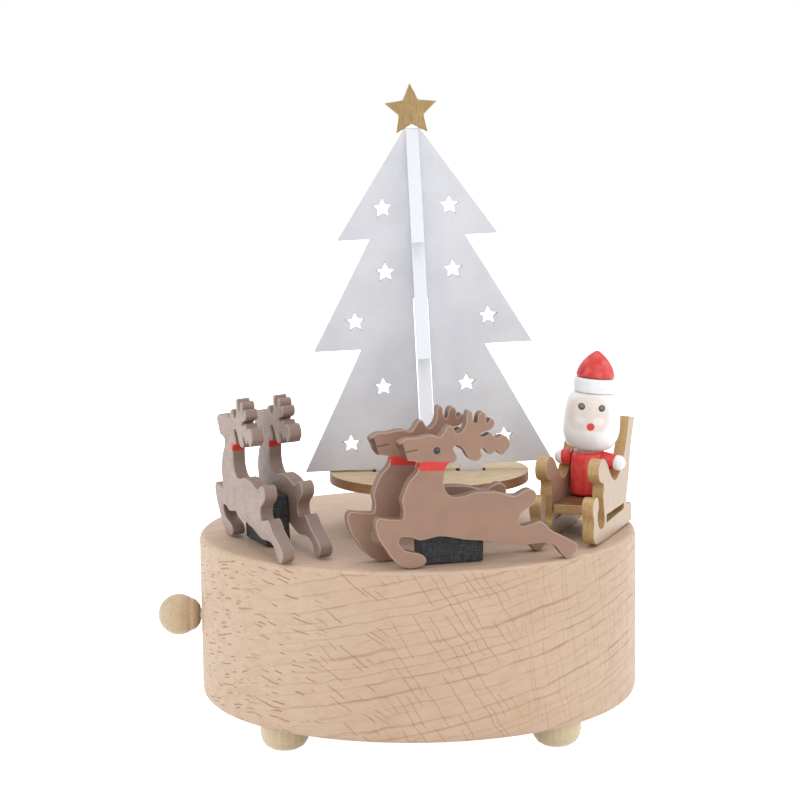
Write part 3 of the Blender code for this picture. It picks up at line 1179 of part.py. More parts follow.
def head_radius(height):
    """Radius of the head at a height above its chin: an oval, fullest at the cheeks."""
    share, end = (HEAD_WIDEST - height) / HEAD_WIDEST, HEAD_CHIN_RADIUS
    if height > HEAD_WIDEST:
        share, end = (height - HEAD_WIDEST) / (HEAD_UNDER_BAND - HEAD_WIDEST), HEAD_CROWN_RADIUS
    return math.sqrt(DOLL_HEAD_RADIUS ** 2 - share ** 2 * (DOLL_HEAD_RADIUS ** 2 - end ** 2))


def make_doll_head(doll):
    """Oval head under a white band and a pointed hat, tilted a little to one side."""
    neck = axis_empty("neck_frame", (0, 0, DOLL_BODY_HEIGHT + GAP), (0, DOLL_HEAD_TILT, 0), doll)
    lift = DOLL_SHOULDER_RADIUS * math.sin(DOLL_HEAD_TILT) * 0.6
    steps = 11
    top = HEAD_UNDER_BAND + lift
    profile = [(0, top), (HEAD_CROWN_RADIUS - HEAD_EDGE, top)]
    for step in range(steps + 1):
        height = HEAD_UNDER_BAND - HEAD_EDGE - (HEAD_UNDER_BAND - 2 * HEAD_EDGE) * step / steps
        profile.append((head_radius(height), height + lift))
    profile += [(HEAD_CHIN_RADIUS - HEAD_EDGE, lift), (0, lift)]
    head = turned_mesh("doll_head", profile, 30)
    shade(head)
    place(bpy.data.objects.new("doll_head", head), HEAD_PAINT, neck)
    band_low = HEAD_UNDER_BAND + lift + GAP
    round_edge = HAT_BAND_HEIGHT * 0.42
    band_profile = [(0, band_low + HAT_BAND_HEIGHT)]
    band_profile += arc((HAT_BAND_RADIUS - round_edge, band_low + HAT_BAND_HEIGHT - round_edge),
                        round_edge, 90, 0, 3)
    band_profile += arc((HAT_BAND_RADIUS - round_edge, band_low + round_edge), round_edge, 0, -90, 3)
    band_profile += [(0, band_low)]
    band = turned_mesh("doll_hat_band", band_profile, 28)
    shade(band)
    place(bpy.data.objects.new("doll_hat_band", band), HEAD_PAINT, neck)
    hat_low = band_low + HAT_BAND_HEIGHT + GAP
    hat_base = min(HAT_RADIUS, HAT_BAND_RADIUS - round_edge * 0.2)
    hat_profile = [(0, hat_low + HAT_HEIGHT), (hat_base * 0.12, hat_low + HAT_HEIGHT * 0.985)]
    hat_profile += [(hat_base * (1 - (step / 7) ** 1.7), hat_low + HAT_HEIGHT * step / 7)
                    for step in range(6, 0, -1)]
    hat_profile += [(hat_base, hat_low), (0, hat_low)]
    hat = turned_mesh("doll_hat", hat_profile, 26)
    shade(hat)
    place(bpy.data.objects.new("doll_hat", hat), RED_PAINT, neck)


def build():
    """Make the whole music box."""
    make_base_block()
    make_bottom_cover()
    make_feet()
    make_winding()
    make_barrel()
    make_bedplate()
    make_comb()
    make_turntable()
    make_governor()
    make_deer_pairs()
    make_sleigh()


build()
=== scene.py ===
"""Wooden music box with a turning white tree, two pairs of deer and a doll in a sleigh."""

import math

import bmesh
import bpy
from mathutils import Matrix, Vector


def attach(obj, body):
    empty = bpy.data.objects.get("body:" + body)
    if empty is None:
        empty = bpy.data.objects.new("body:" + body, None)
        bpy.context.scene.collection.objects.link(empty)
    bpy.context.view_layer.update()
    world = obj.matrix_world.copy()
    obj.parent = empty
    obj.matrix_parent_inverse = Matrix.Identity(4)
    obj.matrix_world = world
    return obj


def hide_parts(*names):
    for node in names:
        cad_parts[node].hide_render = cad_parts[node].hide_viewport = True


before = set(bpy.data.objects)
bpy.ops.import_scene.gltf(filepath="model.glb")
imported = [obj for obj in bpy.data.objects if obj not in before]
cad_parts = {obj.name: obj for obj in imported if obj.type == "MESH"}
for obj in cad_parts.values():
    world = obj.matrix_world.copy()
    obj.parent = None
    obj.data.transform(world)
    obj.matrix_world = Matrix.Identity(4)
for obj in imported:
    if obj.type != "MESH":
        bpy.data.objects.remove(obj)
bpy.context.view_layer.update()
MM = 0.001

# Places and sizes of the groups, in metres
BASE_RADIUS = 0.0575
ON_BASE = 0.0433
TURNTABLE_X = 0.0033
DISC_TOP = 0.0583
DISC_THICKNESS = 0.0025
TREE_LIFT = 0.0013
TREE_LEAN = math.radians(2.2)
PANEL_THICKNESS = 0.0033
STAR_THICKNESS = 0.003
STAR_CENTRE = 0.0937      # along the tree, from its foot
STAR_DROP = 0.0007        # it sits astride the tree's tip
STAR_GROWTH = 1.08
DEER_THICKNESS = 0.0035
# Inset from the base's side with the bearing in degrees, turn, stagger of the two deer, lean
DEER_PAIRS = {
    "front": ((0.0054, -78.7), math.radians(15), 0.0044, 0.0),
    "left": ((0.0084, -155.7), math.radians(-68), 0.0022, math.radians(3)),
}
BLOCK_WIDTH = 0.0066
GAP = 0.0003              # between glued pieces
SLEIGH_PLACE = (0.0030, -34.7)
SLEIGH_TURN = math.radians(70)
SLEIGH_SPACING = 0.0138
SIDE_THICKNESS = 0.003

# Widths of the eased edges, in metres
DISC_EDGE = 0.00012
TREE_EDGE = 0.00022
STAR_EDGE = 0.0003
DEER_EDGE = 0.00042
SLEIGH_EDGE = 0.00035
SEAT_EDGE = 0.0003
BLOCK_EDGE = 0.0002
ARM_EDGE = 0.00025

# Doll: seat, lean of the neck, hands with their radii, and the oval head, in metres
DOLL_SEAT = (0.04509, -0.0057, 0.0525)
NECK_HEIGHT = 0.0117
NECK_LEAN = math.radians(5)
SHOULDER_RADIUS = 0.0046
HANDS = {
    "left": ((-0.0070, 0.0026, 0.0094), 0.0019),
    "right": ((0.0071, -0.0048, 0.0088), 0.0020),
}
HEAD_RADIUS, CHIN_RADIUS, CROWN_RADIUS = 0.0075, 0.0050, 0.0061
HEAD_WIDEST, HEAD_HEIGHT, HEAD_EDGE = 0.0055, 0.0149, 0.0006
HEAD_LIFT = SHOULDER_RADIUS * math.sin(NECK_LEAN) * 0.6
CROWN_DEPTH, CROWN_NARROWING = 0.0022, 0.12

# Turned outlines of the doll, radius and height in millimetres, from the top down
BODY_OUTLINE = ((2.6, 11.4), (3.4, 11.32), (4.1, 11.0), (4.55, 10.4), (4.72, 9.5), (4.85, 6.5),
                (4.98, 1.6), (5.0, 0.7), (4.86, 0.25), (4.5, 0))
BAND_OUTLINE = ((4.4, 3.9), (5.1, 3.75), (5.5, 3.2), (5.6, 2.0), (5.58, 0.9), (5.4, 0.2), (4.6, 0))
HAT_OUTLINE = ((0.35, 6.65), (0.9, 6.35), (2.1, 5.4), (3.35, 4.05), (4.4, 2.4), (4.95, 0.9),
               (5.05, 0.15), (4.9, 0))
HAT_TIP = 0.05            # height of the hat's tip over its outline
HAT_OVER_HEAD = 4.15

# Doll's painted face, in the head's own frame, in millimetres
FACE, FACE_RADIUS = (-1.3, 9.6), 5.5
EYES, EYE_RADIUS = ((-3.4, 11.9), (1.8, 11.85)), 0.88
MOUTH, MOUTH_RADIUS = (-0.75, 6.9), 1.0
CHEEKS = (((-3.4, 8.4), 1.3), ((1.2, 8.4), 1.5))

# Marks on a deer, in the panel's own frame, in millimetres
COLLAR_HEIGHTS = (23.9, 26.2)
COLLAR_ENDS = {True: (-10.2, -2.6), False: (-4.2, -2.6)}
LIP_HEIGHTS, LIP_ENDS = (30.35, 30.65), (-13.6, -10.6)
NOSE_HEIGHTS, NOSE_ENDS = (26.4, 30.8), (-13.9, -13.5)
DEER_EYE, DEER_EYE_RADIUS = (-5.75, 28.66), 0.87
# The glint is a painted highlight in the deer's eye.
DEER_GLINT, DEER_GLINT_RADIUS = (-5.55, 28.9), 0.26

# Smallest distances that count in the meshes, in metres
WELD = 2e-6
CAP_DEPTH = 2e-5
SHORT_STEP = 0.0004


def shift(x=0.0, y=0.0, z=0.0):
    return Matrix.Translation((x, y, z))


def turn(angle, axis):
    return Matrix.Rotation(angle, 4, axis)


def on_base(inset, bearing, angle):
    """Frame on the base top, by the inset from its side and a bearing in degrees."""
    reach = BASE_RADIUS - inset
    way = math.radians(bearing)
    return shift(reach * math.cos(way), reach * math.sin(way), ON_BASE) @ turn(angle, "Z")


# Materials. Colours are screen colours, 0 to 255

class Look:
    """A node material, with short calls for the nodes that these surfaces need."""

    def __init__(self, name, roughness=0.5, metallic=0.0, specular=0.5, coat=0.0,
                 coat_roughness=0.2):
        self.material = bpy.data.materials.new(name)
        self.material.use_nodes = True
        self.nodes = self.material.node_tree.nodes
        self.links = self.material.node_tree.links
        self.shader = self.nodes["Principled BSDF"]
        self.set("Roughness", roughness)
        self.set("Metallic", metallic)
        self.set("Specular IOR Level", specular)
        self.set("Coat Weight", coat)
        self.set("Coat Roughness", coat_roughness)
        self.place = self.nodes.new("ShaderNodeTexCoord")

    def set(self, socket, value):
        self.feed(self.shader, {socket: value})

    def feed(self, node, values):
        for key, value in values.items():
            if isinstance(value, bpy.types.NodeSocket):
                self.links.new(value, node.inputs[key])
            elif value is not None:
                node.inputs[key].default_value = value

    def point(self, scale=(1, 1, 1), turned=(0, 0, 0)):
        """Place in the piece's own frame, in millimetres times the scale."""
        inner = self.nodes.new("ShaderNodeMapping")
        self.feed(inner, {"Vector": self.place.outputs["Object"], "Scale": (1 / MM,) * 3,
                          "Rotation": turned})
        node = self.nodes.new("ShaderNodeMapping")
        self.feed(node, {"Vector": inner.outputs["Vector"], "Scale": scale})
        return node.outputs["Vector"]

    def part(self, vector):
        """The three numbers of a vector."""
        node = self.nodes.new("ShaderNodeSeparateXYZ")
        self.links.new(vector, node.inputs["Vector"])
        return node.outputs["X"], node.outputs["Y"], node.outputs["Z"]

    def join(self, x, y, z):
        node = self.nodes.new("ShaderNodeCombineXYZ")
        self.feed(node, {"X": x, "Y": y, "Z": z})
        return node.outputs["Vector"]

    def facing(self):
        """The surface's direction in the piece's own frame."""
        return self.part(self.place.outputs["Normal"])

    def math(self, operation, a, b=None):
        node = self.nodes.new("ShaderNodeMath")
        node.operation = operation
        self.feed(node, {0: a, 1: b})
        return node.outputs[0]

    def plus(self, a, b):
        return self.math("ADD", a, b)

    def minus(self, a, b):
        return self.math("SUBTRACT", a, b)

    def times(self, a, b):
        return self.math("MULTIPLY", a, b)

    def size(self, value):
        return self.math("ABSOLUTE", value)

    def largest(self, *values):
        most = values[0]
        for value in values[1:]:
            most = self.math("MAXIMUM", most, value)
        return most

    def noise(self, vector, detail=2.0, rough=0.5, twist=0.0):
        node = self.nodes.new("ShaderNodeTexNoise")
        self.feed(node, {"Vector": vector, "Scale": 1.0, "Detail": detail, "Roughness": rough,
                         "Distortion": twist})
        return node.outputs["Fac"]

    def grain(self, stretch, detail=2.0, rough=0.5, twist=0.0, turned=(0, 0, 0)):
        """Noise over the piece, by its steps per millimetre, alike or along each axis."""
        if not isinstance(stretch, tuple):
            stretch = (stretch,) * 3
        return self.noise(self.point(stretch, turned), detail, rough, twist)

    def noise_line(self, value, scale, detail):
        """Noise along one number."""
        node = self.nodes.new("ShaderNodeTexNoise")
        node.noise_dimensions = "1D"
        self.feed(node, {"W": value, "Scale": scale, "Detail": detail, "Roughness": 0.5})
        return node.outputs["Fac"]

    def scatter(self, value):
        """A random number from 0 to 1 for each whole number."""
        node = self.nodes.new("ShaderNodeTexWhiteNoise")
        node.noise_dimensions = "1D"
        self.feed(node, {"W": value})
        return node.outputs["Value"]

    def range(self, value, low, high, to_low=0.0, to_high=1.0):
        """A smooth step from one value to another."""
        node = self.nodes.new("ShaderNodeMapRange")
        node.interpolation_type = "SMOOTHSTEP"
        self.feed(node, {"Value": value, "From Min": low, "From Max": high, "To Min": to_low,
                         "To Max": to_high})
        return node.outputs["Result"]

    def fall(self, value, low, high, rest=0.0):
        """A smooth step down from 1."""
        return self.range(value, low, high, 1.0, rest)

    def mix(self, factor, a, b):
        node = self.nodes.new("ShaderNodeMix")
        node.data_type = "RGBA"
        self.feed(node, {"Factor": factor})
        for number, colour in ((6, a), (7, b)):
            if not isinstance(colour, bpy.types.NodeSocket):
                colour = (*linear(colour), 1.0)
            self.feed(node, {number: colour})
        return node.outputs[2]

    def over(self, colour, tone, value, low, high, share=1.0):
        """A tone laid over a colour, up to a share where the value goes from low to high."""
        return self.mix(self.range(value, low, high, 0.0, share), colour, tone)

    def bump(self, height, depth_mm, strength):
        node = self.nodes.new("ShaderNodeBump")
        self.feed(node, {"Height": height, "Strength": strength, "Distance": depth_mm * MM})
        self.links.new(node.outputs["Normal"], self.shader.inputs["Normal"])

    def dot(self, x, z, centre, radius, soft=0.08, squeeze=1.0):
        """1 inside a painted dot in the XZ plane."""
        across = self.minus(x, centre[0])
        up = self.times(self.minus(z, centre[1]), squeeze)
        reach = self.math("SQRT", self.plus(self.times(across, across), self.times(up, up)))
        return self.fall(reach, radius - soft, radius + soft)

    def band(self, value, low, high, soft=0.12):
        """1 between two values."""
        return self.times(self.range(value, low - soft, low + soft),
                          self.fall(value, high - soft, high + soft))


def linear(colour):
    """Screen colour, 0 to 255, as the shader's linear colour."""
    values = [part / 255 for part in colour]
    return [v / 12.92 if v <= 0.04045 else ((v + 0.055) / 1.055) ** 2.4 for v in values]


def broken_lines(look, along, across, spacing, width, length, share, seed):
    """Thin straight lines side by side, each broken into pieces: 1 on a piece and 0 elsewhere."""
    cell = look.plus(look.times(across, 1 / spacing), seed)
    row = look.math("FLOOR", cell)
    centre = look.plus(look.times(look.scatter(row), 0.5), 0.25)
    reach = look.size(look.minus(look.math("FRACT", cell), centre))
    line = look.fall(reach, 0.25 * width / spacing, 0.75 * width / spacing)
    spot = look.join(look.times(along, 1 / length), look.times(row, 13.37), seed)
    return look.times(line, look.range(look.noise(spot, 0.0), share, share + 0.05))


# Ray lines on the base's side: zone in x, slope in degrees, spacing, width and length of the
# pieces in millimetres, share below which they are left out, strength
RAYS = (
    (-60, -42, 8, 0.9, 0.34, 4.2, 0.590, 0.80),
    (-42, -25, -10, 1.0, 0.32, 4.6, 0.590, 0.85),
    (-25, -8, -36, 1.5, 0.26, 7.0, 0.560, 0.68),
    (-8, 24, -58, 1.8, 0.22, 12.0, 0.480, 0.52),
    (24, 60, -80, 1.7, 0.20, 14.0, 0.480, 0.34),
)
RAY_SEED_STEP = 11.0
RAY_ZONE_BLEND = 5.0

# Growth lines on the base's side: slope to the right, its bend, and their distance in millimetres
GROWTH_SLOPE = 0.2
GROWTH_BEND = 1.67e-5
GROWTH_SPACING = 2.7


def growth_lines(look, x, z, wobble, ripple):
    """The dark late wood of the year rings, where they meet the base's side."""
    cube = look.times(look.times(x, x), x)
    lift = look.plus(look.times(x, GROWTH_SLOPE), look.times(cube, GROWTH_BEND))
    bent = look.plus(look.plus(z, look.times(wobble, 2.2)), look.times(ripple, 0.5))
    level = look.minus(bent, lift)
    phase = look.plus(look.times(level, 1 / GROWTH_SPACING),
                      look.times(look.noise_line(level, 0.12, 1.0), 2.2))
    ring = look.math("FLOOR", phase)
    share = look.math("FRACT", phase)
    late = look.times(look.range(share, 0.74, 0.92), look.fall(share, 0.94, 1.0))
    firm = look.times(look.range(look.scatter(ring), 0.0, 1.0, 0.5, 1.0),
                      look.range(look.grain((0.07, 0.07, 0.3)), 0.3, 0.65, 0.3, 1.0))
    return look.times(look.times(late, firm), look.range(x, -44.0, -14.0, 0.1, 1.0))


def ray_lines(look, x, y, z, wobble, ripple):
    """The short dark lines of the wood rays, in zones around the base's side."""
    round_way = look.times(look.math("ARCTAN2", x, look.times(y, -1.0)), BASE_RADIUS / MM)
    uneven = look.plus(look.times(wobble, 2.4), look.times(ripple, 0.25))
    zones = []
    for number, (start, end, angle, spacing, width, length, gap, strength) in enumerate(RAYS):
        way = math.radians(angle)
        along = look.plus(look.times(round_way, math.cos(way)), look.times(z, math.sin(way)))
        across = look.plus(look.times(round_way, -math.sin(way)), look.times(z, math.cos(way)))
        lines = broken_lines(look, along, look.plus(across, uneven), spacing, width, length, gap,
                             RAY_SEED_STEP * number)
        zone = look.times(look.band(x, start, end, RAY_ZONE_BLEND), strength)
        zones.append(look.times(lines, zone))
    return look.largest(*zones)


def beech_base():
    """Beech with slanting growth lines, ray lines on the side and pore flecks at the left."""
    look = Look("beech_base", roughness=0.55, specular=0.35)
    x, y, z = look.part(look.point())
    wobble = look.grain((0.09, 0.09, 0.13))
    ripple = look.grain(0.45, 1.0)
    growth = growth_lines(look, x, z, wobble, ripple)
    rays = ray_lines(look, x, y, z, wobble, ripple)
    upward = look.facing()[2]
    top = look.range(upward, 0.35, 0.8)
    side = look.fall(upward, 0.35, 0.8, 0.12)
    rays_shown = look.times(rays, side)

    tilted = (0, math.radians(12), 0)
    patch = look.grain((0.03, 0.03, 0.05))
    cloud = look.grain((0.25, 0.25, 0.7), 3.0, 0.55, turned=tilted)
    fine = look.grain((1.1, 1.1, 3.0), 3.0, 0.6, turned=tilted)
    # The side's tones are lighter towards the left and a little greyer towards the right: painted
    # light for the sheen where the round side turns away.
    left, middle, right = (208, 183, 159), (202, 174, 149), (201, 176, 153)
    colour = look.over(left, middle, x, -40.0, 0.0)
    colour = look.over(colour, right, x, 22.0, 48.0)
    colour = look.over(colour, (211, 186, 163), patch, 0.35, 0.7, 0.45)
    colour = look.over(colour, (191, 159, 132), cloud, 0.4, 0.7, 0.35)
    colour = look.over(colour, (186, 152, 124), fine, 0.45, 0.75, 0.22)
    colour = look.mix(look.times(growth, 0.78), colour, (169, 129, 101))

    flat_grain = look.grain((0.10, 0.9, 1.0), 3.0, 0.6, turned=(0, 0, math.radians(-24)))
    top_colour = look.over((211, 186, 165), (199, 171, 146), flat_grain, 0.35, 0.7)
    colour = look.mix(top, colour, top_colour)
    halo = look.times(look.times(look.range(fine, 0.3, 0.6), rays), side)
    colour = look.mix(look.times(rays_shown, 0.85), colour, (151, 105, 73))
    colour = look.mix(look.times(halo, 0.25), colour, (140, 96, 62))
    look.set("Base Color", colour)
    look.set("Roughness", look.range(cloud, 0.3, 0.7, 0.50, 0.62))
    look.bump(look.minus(look.times(fine, 0.5), look.times(rays_shown, 0.8)), 0.04, 0.45)
    return look.material


def pale_wood(name, light, dark):
    """Close-grained turned wood."""
    look = Look(name, roughness=0.4, coat=0.15)
    grain = look.grain((3.0, 3.0, 0.35), 3.0, 0.6, 0.3)
    soft = look.grain((0.18, 0.18, 0.1))
    colour = look.over(light, dark, grain, 0.35, 0.7)
    look.set("Base Color", look.over(colour, light, soft, 0.4, 0.7, 0.4))
    look.bump(grain, 0.03, 0.35)
    return look.material


def plywood(name, face_axis, edge):
    """Thin sheet with a pale face and a scorched edge; the axis is that across the sheet."""
    look = Look(name, roughness=0.55, specular=0.35)
    axis = "XYZ".index(face_axis)
    long_grain = look.grain((0.12, 1.6, 1.6), 4.0, 0.6, turned=(0, 0, math.radians(8)))
    face = look.over((235, 214, 179), (208, 180, 141), long_grain, 0.35, 0.7)
    depth = look.part(look.point())[axis]
    ply = look.noise_line(look.plus(depth, look.times(long_grain, 0.4)), 1.4, 2.0)
    burnt = look.grain((0.6, 0.6, 3.0), 3.0, 0.6)
    cut = look.over(edge, (178, 134, 96), ply, 0.4, 0.62)
    cut = look.over(cut, (128, 86, 58), burnt, 0.35, 0.75, 0.5)
    flat = look.range(look.size(look.facing()[axis]), 0.55, 0.9)
    look.set("Base Color", look.mix(flat, cut, face))
    look.bump(long_grain, 0.03, 0.4)
    return look.material


def white_paint():
    """Greyish white paint on thin wood, brushed thin on the faces and thicker on the cut edges."""
    look = Look("white_paint_brushed", roughness=0.5, specular=0.4)
    brush = look.grain((1.6, 1.0, 0.4), 3.0, 0.6)
    cloud = look.grain(0.07, 3.0, 0.55)
    fleck = look.grain((0.9, 0.9, 4.5))
    face = look.over((228, 229, 233), (218, 219, 225), cloud, 0.35, 0.68)
    face = look.over(face, (207, 206, 212), brush, 0.45, 0.75, 0.16)
    face = look.over(face, (236, 237, 240), fleck, 0.64, 0.72, 0.35)
    edge = look.over((232, 235, 241), (219, 222, 230), fleck, 0.5, 0.7, 0.4)
    flat = look.range(look.size(look.facing()[1]), 0.6, 0.92)
    look.set("Base Color", look.mix(flat, edge, face))
    look.set("Roughness", look.range(brush, 0.3, 0.7, 0.42, 0.58))
    look.bump(look.plus(brush, look.times(fleck, 0.6)), 0.04, 0.4)
    return look.material


def gold_paint(name, face, edge, streak, face_axis="Y", stretch=(2.2, 2.2, 0.5), metallic=0.2,
               inner=None):
    """Brushed metallic paint; the inner side of a panel can take a darker, redder tone as painted
    shade.
    """
    look = Look(name, roughness=0.42, metallic=metallic)
    grain = look.grain(stretch, 4.0, 0.62)
    speck = look.grain(3.5, rough=0.6)
    soft = look.grain(0.22)
    side = look.facing()["XYZ".index(face_axis)]
    flat = look.range(look.size(side), 0.6, 0.92)
    # The inner tone is painted shade.
    tone = look.over(face, inner, side, 0.2, 0.8) if inner else face
    colour = look.mix(flat, edge, tone)
    colour = look.over(colour, streak, grain, 0.42, 0.72, 0.55)
    look.set("Base Color", look.over(colour, edge, soft, 0.4, 0.7, 0.25))
    look.set("Roughness", look.range(speck, 0.3, 0.75, 0.32, 0.55))
    look.bump(look.plus(grain, look.times(speck, 0.4)), 0.04, 0.5)
    return look.material


def brown_paint(name, face, dark, marked):
    """Brown paint on wood, paler along the eased edges, where sanding thins the paint and a
    highlight is painted in, with a red collar.

    A marked deer also has an eye with a painted highlight, a nose and a mouth line.
    """
    look = Look(name, roughness=0.5, specular=0.45)
    grain = look.grain((0.3, 1.0, 1.6), 4.0, 0.6)
    cloud = look.grain(0.16, 3.0)
    speck = look.grain(2.6)
    x, _, z = look.part(look.point())
    colour = look.over(face, dark, cloud, 0.35, 0.7)
    colour = look.over(colour, (130, 98, 82), grain, 0.5, 0.75, 0.14)
    colour = look.over(colour, (196, 172, 156), speck, 0.66, 0.74, 0.12)
    facing = look.size(look.facing()[1])
    colour = look.mix(look.times(look.fall(facing, 0.2, 0.5), 0.5), colour, (121, 95, 83))
    # Paler eased edges: partly sanded paint, partly a painted highlight.
    worn_and_lit_rim = look.times(look.band(facing, 0.25, 0.93, 0.08), look.range(cloud, 0.3, 0.7, 0.55, 0.95))
    colour = look.mix(worn_and_lit_rim, colour, (181, 158, 143))

    level = look.plus(look.plus(z, look.times(x, 0.035)), look.times(look.grain(0.9, 1.0), 0.9))
    collar = look.times(look.band(level, *COLLAR_HEIGHTS), look.band(x, *COLLAR_ENDS[marked]))
    colour = look.mix(collar, colour, (206, 58, 48))
    rough = look.range(grain, 0.3, 0.7, 0.42, 0.58)
    height = look.plus(grain, look.times(speck, 0.3))
    if marked:
        lip = look.times(look.band(look.plus(z, look.times(x, -0.13)), *LIP_HEIGHTS, 0.06),
                         look.band(x, *LIP_ENDS))
        snout = look.plus(x, look.times(look.minus(z, 28.8), 0.28))
        nose = look.times(look.fall(snout, *NOSE_ENDS), look.band(z, *NOSE_HEIGHTS, 0.3))
        colour = look.mix(look.largest(lip, nose), colour, (84, 54, 42))
        eye = look.dot(x, z, DEER_EYE, DEER_EYE_RADIUS, 0.07)
        # Painted highlight in the eye.
        glint = look.dot(x, z, DEER_GLINT, DEER_GLINT_RADIUS, 0.1)
        colour = look.mix(eye, colour, look.mix(glint, (30, 26, 27), (88, 98, 102)))
        rough = look.minus(rough, look.times(eye, 0.25))
        height = look.plus(height, look.times(eye, 0.8))
    look.set("Base Color", colour)
    look.set("Roughness", rough)
    look.bump(height, 0.05, 0.45)
    return look.material


def black_paint():
    """Charcoal stain over sawn wood, whose saw marks show."""
    look = Look("black_paint_sawn", roughness=0.72, specular=0.3)
    upright = look.grain((3.2, 3.2, 0.45), 3.0, 0.6)
    level = look.grain((0.5, 0.5, 3.6), 2.0, 0.6)
    weave = look.times(look.range(upright, 0.35, 0.7), look.range(level, 0.3, 0.7))
    look.set("Base Color", look.mix(weave, (44, 45, 49), (98, 97, 102)))
    look.bump(look.plus(upright, level), 0.08, 0.6)
    return look.material


def red_paint(name, colour, neck=None):
    """Satin red lacquer over wood grain, with pink patches of painted sheen, white above the neck
    height in millimetres.
    """
    look = Look(name, roughness=0.36, coat=0.2, coat_roughness=0.3)
    grain = look.grain((1.2, 1.2, 0.3), 3.0, 0.6)
    mottle = look.grain(0.5)
    tone = look.over(colour, (208, 40, 40), grain, 0.35, 0.75, 0.5)
    # Pink patches stand in for the sheen on the satin red: painted sheen.
    tone = look.over(tone, (242, 116, 108), mottle, 0.4, 0.75, 0.5)
    if neck:
        height = look.part(look.point())[2]
        tone = look.over(tone, (236, 228, 226), height, neck - 0.1, neck + 0.1)
    look.set("Base Color", tone)
    look.set("Roughness", look.range(mottle, 0.3, 0.7, 0.28, 0.42))
    look.bump(grain, 0.03, 0.3)
    return look.material


def white_lacquer():
    """Glossy white lacquer with faint unevenness."""
    look = Look("white_lacquer", roughness=0.28, coat=0.25)
    mottle = look.grain(0.4)
    fine = look.grain(2.0)
    look.set("Base Color", look.over((249, 249, 250), (240, 241, 244), mottle, 0.35, 0.7))
    look.set("Roughness", look.range(fine, 0.3, 0.7, 0.22, 0.36))
    look.bump(look.plus(mottle, look.times(fine, 0.2)), 0.06, 0.3)
    return look.material


def doll_face():
    """White head with a pale pink face, two eye dots with painted highlights, white cheeks and a
    round red mouth.
    """
    look = Look("doll_face", roughness=0.28, coat=0.25)
    x, y, z = look.part(look.point())
    mottle = look.grain(0.5)
    front = look.range(y, -1.0, -3.0)
    skin = look.times(look.dot(x, z, FACE, FACE_RADIUS, 0.9, 1.02), front)
    chin = look.range(z, FACE[1] - 4.4, FACE[1] - 3.2)
    skin = look.times(skin, look.range(chin, 0, 1, 0.25, 1.0))
    colour = look.mix(look.times(skin, 0.85), (249, 249, 250), (236, 220, 209))
    puff = look.largest(*(look.dot(x, z, spot, radius, 0.55, 1.5) for spot, radius in CHEEKS))
    colour = look.mix(look.times(look.times(puff, front), 0.6), colour, (250, 249, 249))
    eyes = look.largest(*(look.dot(x, z, spot, EYE_RADIUS) for spot in EYES))
    eyes = look.times(eyes, front)
    # Painted highlight in each eye.
    glint = look.largest(*(look.dot(x, z, (spot[0] + 0.1, spot[1] + 0.15), 0.5, 0.25)
                           for spot in EYES))
    colour = look.mix(eyes, colour, look.mix(glint, (58, 58, 62), (120, 124, 130)))
    mouth = look.times(look.dot(x, z, MOUTH, MOUTH_RADIUS), front)
    look.set("Base Color", look.mix(mouth, colour, (218, 38, 34)))
    height = look.plus(look.plus(look.times(mottle, 0.3), look.times(puff, 0.5)),
                       look.times(look.largest(eyes, mouth), 0.7))
    look.bump(height, 0.12, 0.5)
    return look.material


def metal(name, light, dark):
    """Turned or stamped metal with fine tool marks."""
    look = Look(name, metallic=1.0)
    marks = look.grain((1.0, 1.0, 6.0), 3.0, 0.6)
    stain = look.grain(0.25, 3.0)
    colour = look.over(light, dark, marks, 0.35, 0.7)
    look.set("Base Color", look.over(colour, dark, stain, 0.5, 0.8, 0.4))
    look.set("Roughness", look.range(stain, 0.3, 0.7, 0.24, 0.42))
    look.bump(marks, 0.015, 0.4)
    return look.material


BEECH = beech_base()
KNOB_WOOD = pale_wood("knob_wood", (205, 183, 150), (186, 161, 126))
FOOT_WOOD = pale_wood("foot_wood", (216, 199, 166), (203, 183, 145))
COVER_WOOD = plywood("cover_plywood", "Z", (158, 112, 76))
DISC_WOOD = plywood("disc_sheet", "Y", (172, 124, 92))
WHITE = white_paint()
STAR_GOLD = gold_paint("star_gold", (164, 136, 92), (190, 162, 114), (92, 68, 34), metallic=0.35,
                       stretch=(3.0, 3.0, 0.4))
# The sleigh sides' inner faces take a darker, redder tone: painted shade between the sides.
SLEIGH_GOLD = gold_paint("sleigh_gold", (179, 159, 139), (192, 160, 110), (146, 112, 66),
                         inner=(168, 122, 96))
# The seat's flat faces are dark reddish brown, painted shade where the top lies between the sides
# under the doll; its edges keep the gold.
SEAT_GOLD_PAINTED_SHADE = gold_paint("seat_gold_painted_shade", (126, 84, 62), (192, 160, 110), (142, 108, 64), face_axis="Z",
                       stretch=(0.4, 2.4, 2.4))
DEER_BROWN = {
    "front": brown_paint("brown_paint_deer", (157, 123, 104), (150, 117, 99), marked=True),
    # The left pair wears the same brown paint, drawn paler and greyer as painted sheen from the
    # side lamp on these faces.
    "left": brown_paint("brown_paint_painted_sheen", (164, 144, 134), (153, 132, 122), marked=False),
}
BLACK = black_paint()
# One red paint on arms, body and hat; the arms' and body's reds are made brighter than the hat's to
# lift the shade they sit in, which is painted light.
ARM_RED = red_paint("red_paint_satin", (232, 52, 48))
BODY_RED = red_paint("red_paint_body", (244, 60, 54), neck=11.25)
HAT_RED = red_paint("red_paint_hat", (214, 46, 44))
LACQUER = white_lacquer()
FACE_PAINT = doll_face()
STEEL = metal("steel_turned", (176, 177, 180), (128, 129, 133))
BRASS = metal("brass_turned", (196, 160, 92), (150, 114, 54))

